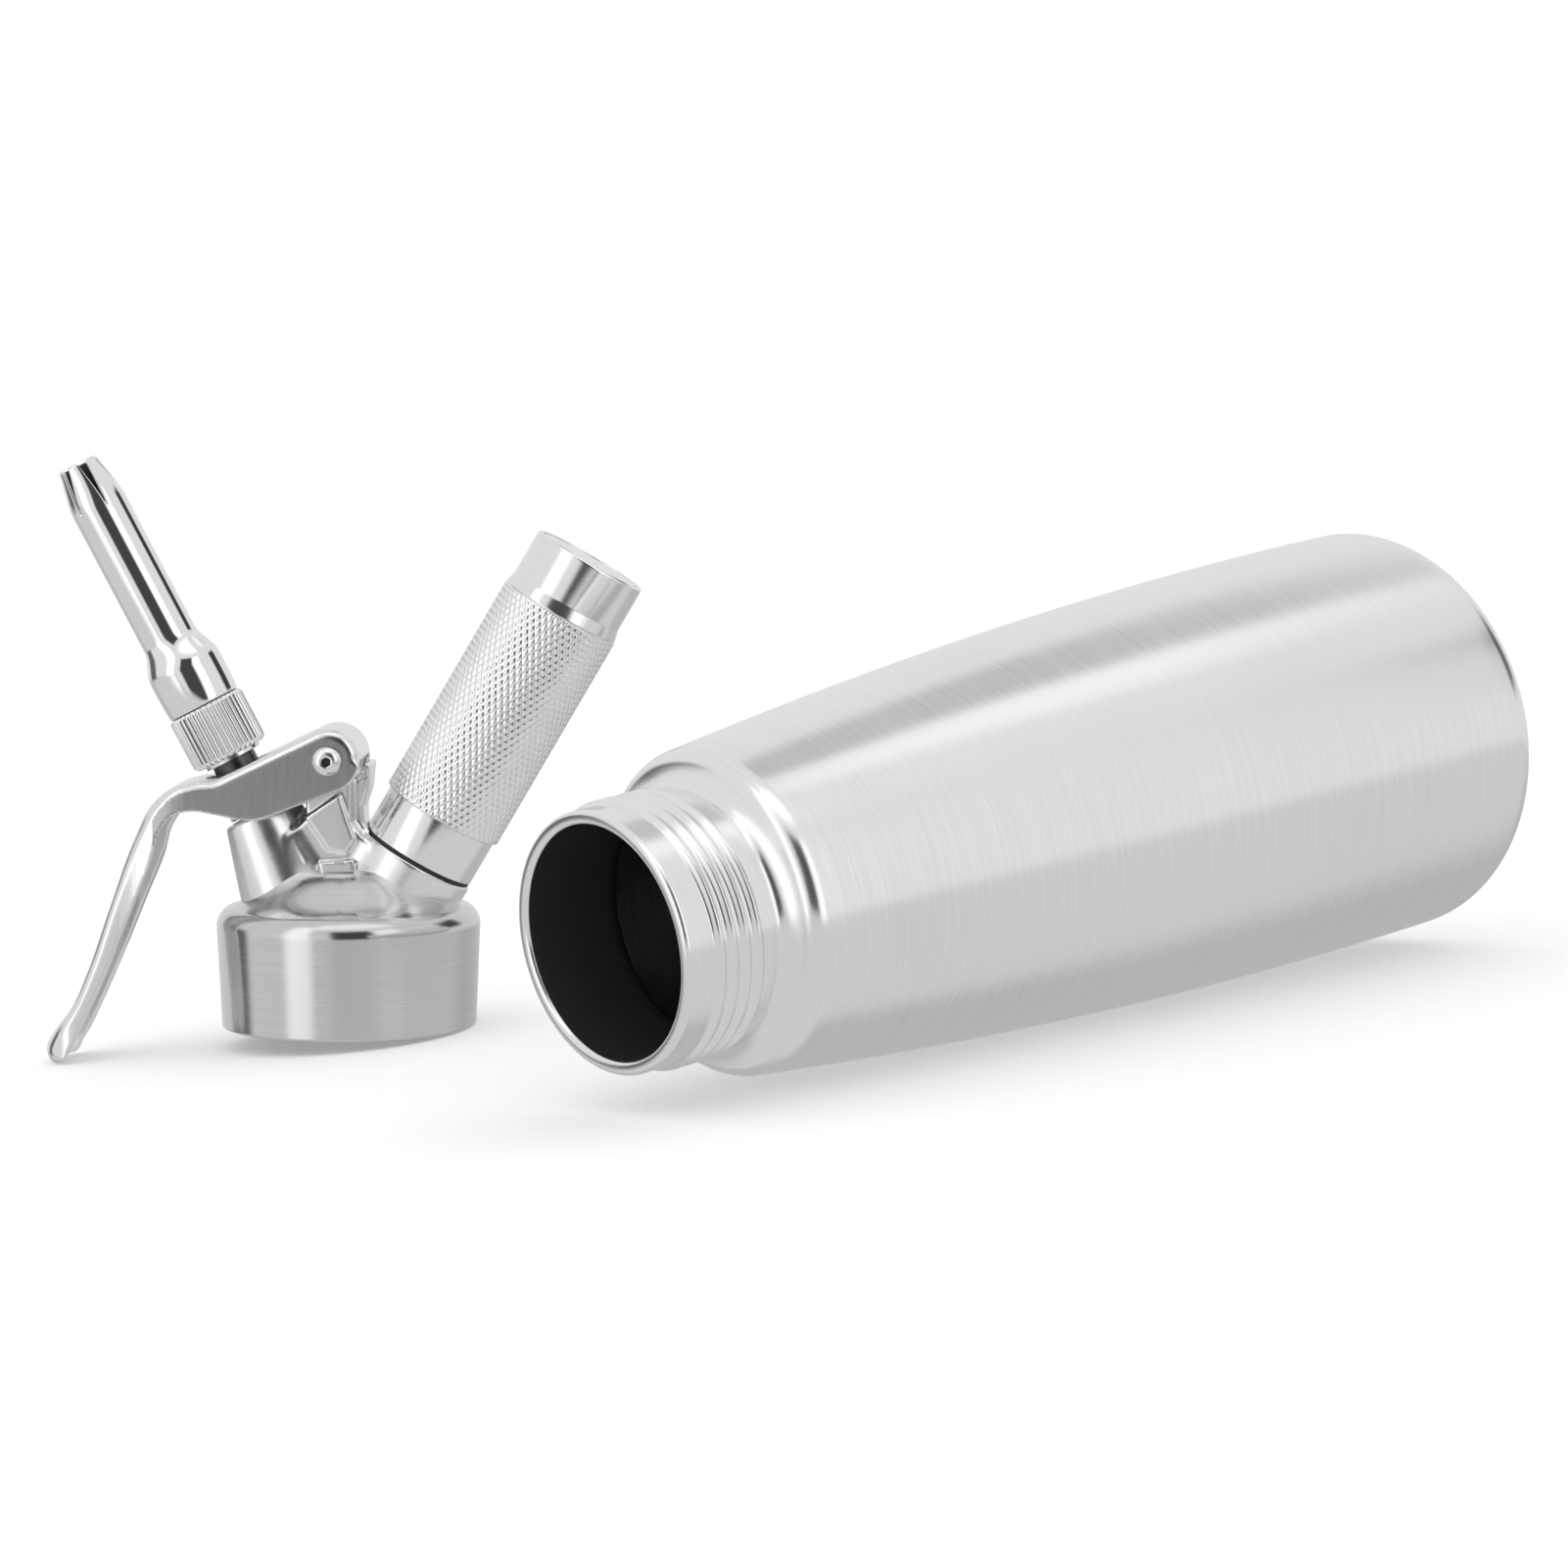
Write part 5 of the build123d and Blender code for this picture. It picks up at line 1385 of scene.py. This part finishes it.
@dataclass
class Studio:
    """Camera, pale floor, and a studio of soft boxes and dark cards round the object."""

    camera_at: tuple[float, float, float] = (-651.105, -783.239, 149.176)
    right: tuple[float, float, float] = (0.756663, -0.647686, -0.089240)
    down: tuple[float, float, float] = (-0.128925, -0.013997, -0.991556)
    forward: tuple[float, float, float] = (0.640967, 0.761779, -0.094094)
    lens: float = 98.277
    base: float = 0.80
    cards: tuple[Card, ...] = (
        Card(0, 180, -90, -8, 0.66, 1.5),
        Card(180, 60, -70, -12, 0.5, 12),
        Card(-110, 14, -13, 16, 0.14, 5),
        Card(-41, 11, -13, 60, 1.35, 5),
        Card(10, 19, -7, 40, 0.06, 4),
        Card(44, 11, -10, 40, 1.25, 4),
        Card(112, 12, 8, 31, 0.05, 4),
        Card(116, 12, 50, 66, 1.05, 4),
        Card(150, 16, 44, 75, 0.55, 6),
        Card(20, 50, 52, 80, 1.2, 6),
    )

    def camera(self) -> None:
        """Puts the camera at the photograph's viewpoint."""
        data = bpy.data.cameras.new("camera")
        data.lens = self.lens
        data.sensor_width = 36.0
        data.clip_start = 0.05
        made = bpy.data.objects.new("camera", data)
        right, up, back = np.array(self.right), -np.array(self.down), -np.array(self.forward)
        turn = np.eye(4)
        turn[:3, :3] = np.stack([right, up, back], axis=1)
        turn[:3, 3] = np.array(self.camera_at) / 1000.0
        made.matrix_world = Matrix(turn.tolist())
        bpy.context.scene.collection.objects.link(made)
        bpy.context.scene.camera = made

    def card_share(self, sheet: NodeSheet, card: Card, facing: Socket, up: Socket) -> object:
        """How far a direction lies in a card: the product of up to three soft steps.

        Args:
            sheet: The world's nodes.
            card: The card.
            facing: Cosine of the level angle between the direction and the card's.
            up: Sine of the direction's height.

        Returns:
            Share from 0 to 1, as a socket, or 1 for a card that covers everything.
        """
        share: object = 1.0
        low, high, soft = np.radians((card.low, card.high, card.soft))
        if card.half < 180:
            near = np.cos(np.radians(max(card.half - card.soft, 0.5)))
            far = np.cos(np.radians(min(card.half + card.soft, 179.5)))
            share = sheet.span(facing, (far, near), (0.0, 1.0), soft=True)
        if card.low > -90:
            edge = (np.sin(max(low - soft, -1.57)), np.sin(low + soft))
            share = sheet.math("MULTIPLY", share, sheet.span(up, edge, (0.0, 1.0), soft=True))
        if card.high < 90:
            edge = (np.sin(high - soft), np.sin(min(high + soft, 1.57)))
            share = sheet.math("MULTIPLY", share, sheet.span(up, edge, (1.0, 0.0), soft=True))
        return share

    def sky(self) -> None:
        """World that is white to the camera and holds the cards for reflections.

        Later cards cover earlier ones.
        """
        world = bpy.data.worlds.new("studio")
        bpy.context.scene.world = world
        world.use_nodes = True
        sheet = NodeSheet(world.node_tree)
        place = sheet.add("ShaderNodeTexCoord").outputs["Generated"]
        split = sheet.add("ShaderNodeSeparateXYZ")
        sheet.link(place, split.inputs[0])
        flat = sheet.add("ShaderNodeCombineXYZ")
        sheet.link(split.outputs[0], flat.inputs[0])
        sheet.link(split.outputs[1], flat.inputs[1])
        unit = sheet.add("ShaderNodeVectorMath", operation="NORMALIZE")
        sheet.link(flat.outputs[0], unit.inputs[0])
        front = -np.array(self.forward)[:2] / np.linalg.norm(self.forward[:2])
        side = np.array([-front[1], front[0]])
        if side @ np.array(self.right)[:2] < 0:
            side = -side
        level: object = self.base
        for card in self.cards:
            a = np.radians(card.turn)
            way = front * np.cos(a) + side * np.sin(a)
            dot = sheet.add("ShaderNodeVectorMath", operation="DOT_PRODUCT")
            sheet.link(unit.outputs[0], dot.inputs[0])
            dot.inputs[1].default_value = (way[0], way[1], 0.0)
            share = self.card_share(sheet, card, dot.outputs["Value"], split.outputs[2])
            level = sheet.mix("FLOAT", share, level, card.level)
        rays = sheet.add("ShaderNodeLightPath").outputs
        mirrored = sheet.math("MAXIMUM", rays["Is Glossy Ray"], rays["Is Transmission Ray"])
        back = sheet.add("ShaderNodeBackground")
        back.inputs["Color"].default_value = (1.0, 1.0, 1.0, 1.0)
        sheet.link(sheet.mix("FLOAT", mirrored, 1.0, level), back.inputs["Strength"])
        out = sheet.add("ShaderNodeOutputWorld")
        sheet.link(back.outputs[0], out.inputs["Surface"])

    def floor(self) -> None:
        """Pale floor that keeps the shadow and reads white to the camera."""
        size, under = 6.0, -0.0002
        corners = [(x * size, y * size, under) for x, y in ((-1, -1), (1, -1), (1, 1), (-1, 1))]
        mesh = bpy.data.meshes.new("floor")
        mesh.from_pydata(corners, [], [(0, 1, 2, 3)])
        made = bpy.data.objects.new("floor", mesh)
        bpy.context.scene.collection.objects.link(made)
        made.visible_glossy = False
        finish = bpy.data.materials.new("floor_white")
        finish.use_nodes = True
        sheet = NodeSheet(finish.node_tree)
        bsdf = sheet.add("ShaderNodeBsdfPrincipled")
        bsdf.inputs["Base Color"].default_value = (0.86, 0.86, 0.86, 1.0)
        bsdf.inputs["Roughness"].default_value = 0.9
        bsdf.inputs["Specular IOR Level"].default_value = 0.0
        glow = sheet.add("ShaderNodeEmission")
        rays = sheet.add("ShaderNodeLightPath")
        strength = sheet.math("MULTIPLY", rays.outputs["Is Camera Ray"], 0.22)
        sheet.link(strength, glow.inputs["Strength"])
        total = sheet.add("ShaderNodeAddShader")
        sheet.link(bsdf.outputs[0], total.inputs[0])
        sheet.link(glow.outputs[0], total.inputs[1])
        out = sheet.add("ShaderNodeOutputMaterial")
        sheet.link(total.outputs[0], out.inputs["Surface"])
        mesh.materials.append(finish)

    def build(self) -> None:
        """Camera, sky and floor, with the plain view transform."""
        self.camera()
        self.sky()
        self.floor()
        bpy.context.scene.view_settings.view_transform = "Standard"


# ---------------------------------------------------------------- main
def metal_finishes(head: Stand, nozzle: Stand) -> dict[str, Finished]:
    """The dispenser's metals.

    Each row holds the name, colour, least and greatest roughness, scale of the lines,
    relief in metres, shade and anisotropy. The last columns are left out where a metal
    needs none: what its lines read, and the frame they are turned into.

    Args:
        head: The head's frame.
        nozzle: The nozzle's frame.

    Returns:
        Materials by a short name.
    """
    solid, turned = (0.0, Pattern.SOLID), (0.0, Pattern.SOLID, head.axes)
    polished = (0.0, Pattern.SOLID, nozzle.axes)
    across = (900, 120, 120)
    rows = {
        "bottle": (
            "steel_bottle", (0.89, 0.89, 0.895), 0.14, 0.26, (0.03, 1.7, 1.0), 3.5e-6, 0.05, 0.6,
        ),
        "ring": ("steel_ring", (0.66, 0.66, 0.665), 0.12, 0.22, (0.02, 2.2, 1.0), 3e-6, 0.06, 0.6),
        # the lever's steel at half brightness: painted shade for its side flanges
        "flange_shade": ("steel_flange_painted_shade", (0.42, 0.42, 0.425), 0.16, 0.28, across, 2e-6, 0.08, *turned),
        "casting": (
            "steel_casting", (0.87, 0.87, 0.875), 0.18, 0.30, (220,) * 3, 1e-5, 0.04, *solid,
        ),
        "lever": ("steel_lever", (0.84, 0.84, 0.845), 0.12, 0.24, across, 2e-6, 0.04, *turned),
        "mirror": (
            "steel_mirror", (0.88, 0.88, 0.89), 0.03, 0.07, (60, 60, 400), 5e-7, 0.02, *polished,
        ),
        "nut": ("steel_nut", (0.86, 0.86, 0.865), 0.12, 0.22, (300,) * 3, 2e-6, 0.04, *solid),
        "knurled": (
            "alloy_knurled", (0.93, 0.93, 0.935), 0.15, 0.25, (260,) * 3, 3e-6, 0.04, *solid,
        ),
        "turned": (
            "alloy_turned", (0.88, 0.88, 0.885), 0.10, 0.2, (0.02, 3.0, 1.0), 2e-6, 0.04, 0.4,
        ),
        "faced": ("alloy_faced", (0.88, 0.88, 0.885), 0.16, 0.26, (500,) * 3, 2e-6, 0.04, *solid),
        "small": ("steel_small", (0.82, 0.82, 0.83), 0.14, 0.28, (500,) * 3, 1e-5, 0.05, *solid),
        # near-black steel for the stem in the gap under the lever: painted shade
        "dark": ("stem_painted_shade", (0.10, 0.10, 0.105), 0.22, 0.36, (400,) * 3, 1e-5, 0.1, *solid),
        "brass": ("brass_turned", (0.78, 0.62, 0.32), 0.2, 0.34, (400,) * 3, 1e-5, 0.06, *solid),
    }
    return {key: BrushedMetal(*row).build() for key, row in rows.items()}


def plain_finishes() -> dict[str, Finished]:
    """The near-black finish of hollows, which is painted shade, and the rubbers and plastics, by a short name."""
    listed = {
        # near-black finish for the insides of hollows: painted shade
        "hollow_shade": PlainFinish("painted_shade_hollows", (0.03, 0.03, 0.031), 0.4, 500.0),
        "rubber": PlainFinish("rubber_black", (0.018, 0.018, 0.018), 0.6),
        "silicone": PlainFinish("silicone_grey", (0.42, 0.43, 0.44), 0.55),
        "plastic": PlainFinish("plastic_white", (0.8, 0.8, 0.78), 0.4, 900.0),
    }
    return {key: finish.build() for key, finish in listed.items()}


def main() -> None:
    """Builds and dresses every piece in order."""
    logging.basicConfig(level=logging.INFO, format="%(name)s: %(message)s")
    sizes = HeadSizes()
    head, nozzle, port = sizes.head(), sizes.nozzle(), sizes.port()
    metals = metal_finishes(head, nozzle)
    plains = plain_finishes()
    Studio().build()
    # near-black finish for hollows: painted shade
    hollow_shade = plains["hollow_shade"]
    Bottle().dress(bottle_stand(), metals["bottle"], hollow_shade)
    HeadRing().dress(head, metals["ring"])
    HeadBody().dress(head, metals["casting"])
    Lever().dress(head, metals["lever"], metals["flange_shade"])
    parts = Nozzle()
    parts.nut(nozzle, metals["nut"])
    parts.tip(nozzle, metals["mirror"], hollow_shade)
    Holder().dress(port, metals["knurled"], metals["turned"])
    PivotScrew().dress(head, metals["faced"], hollow_shade)
    SmallParts({**metals, **plains}).dress()


if __name__ == "__main__":
    main()
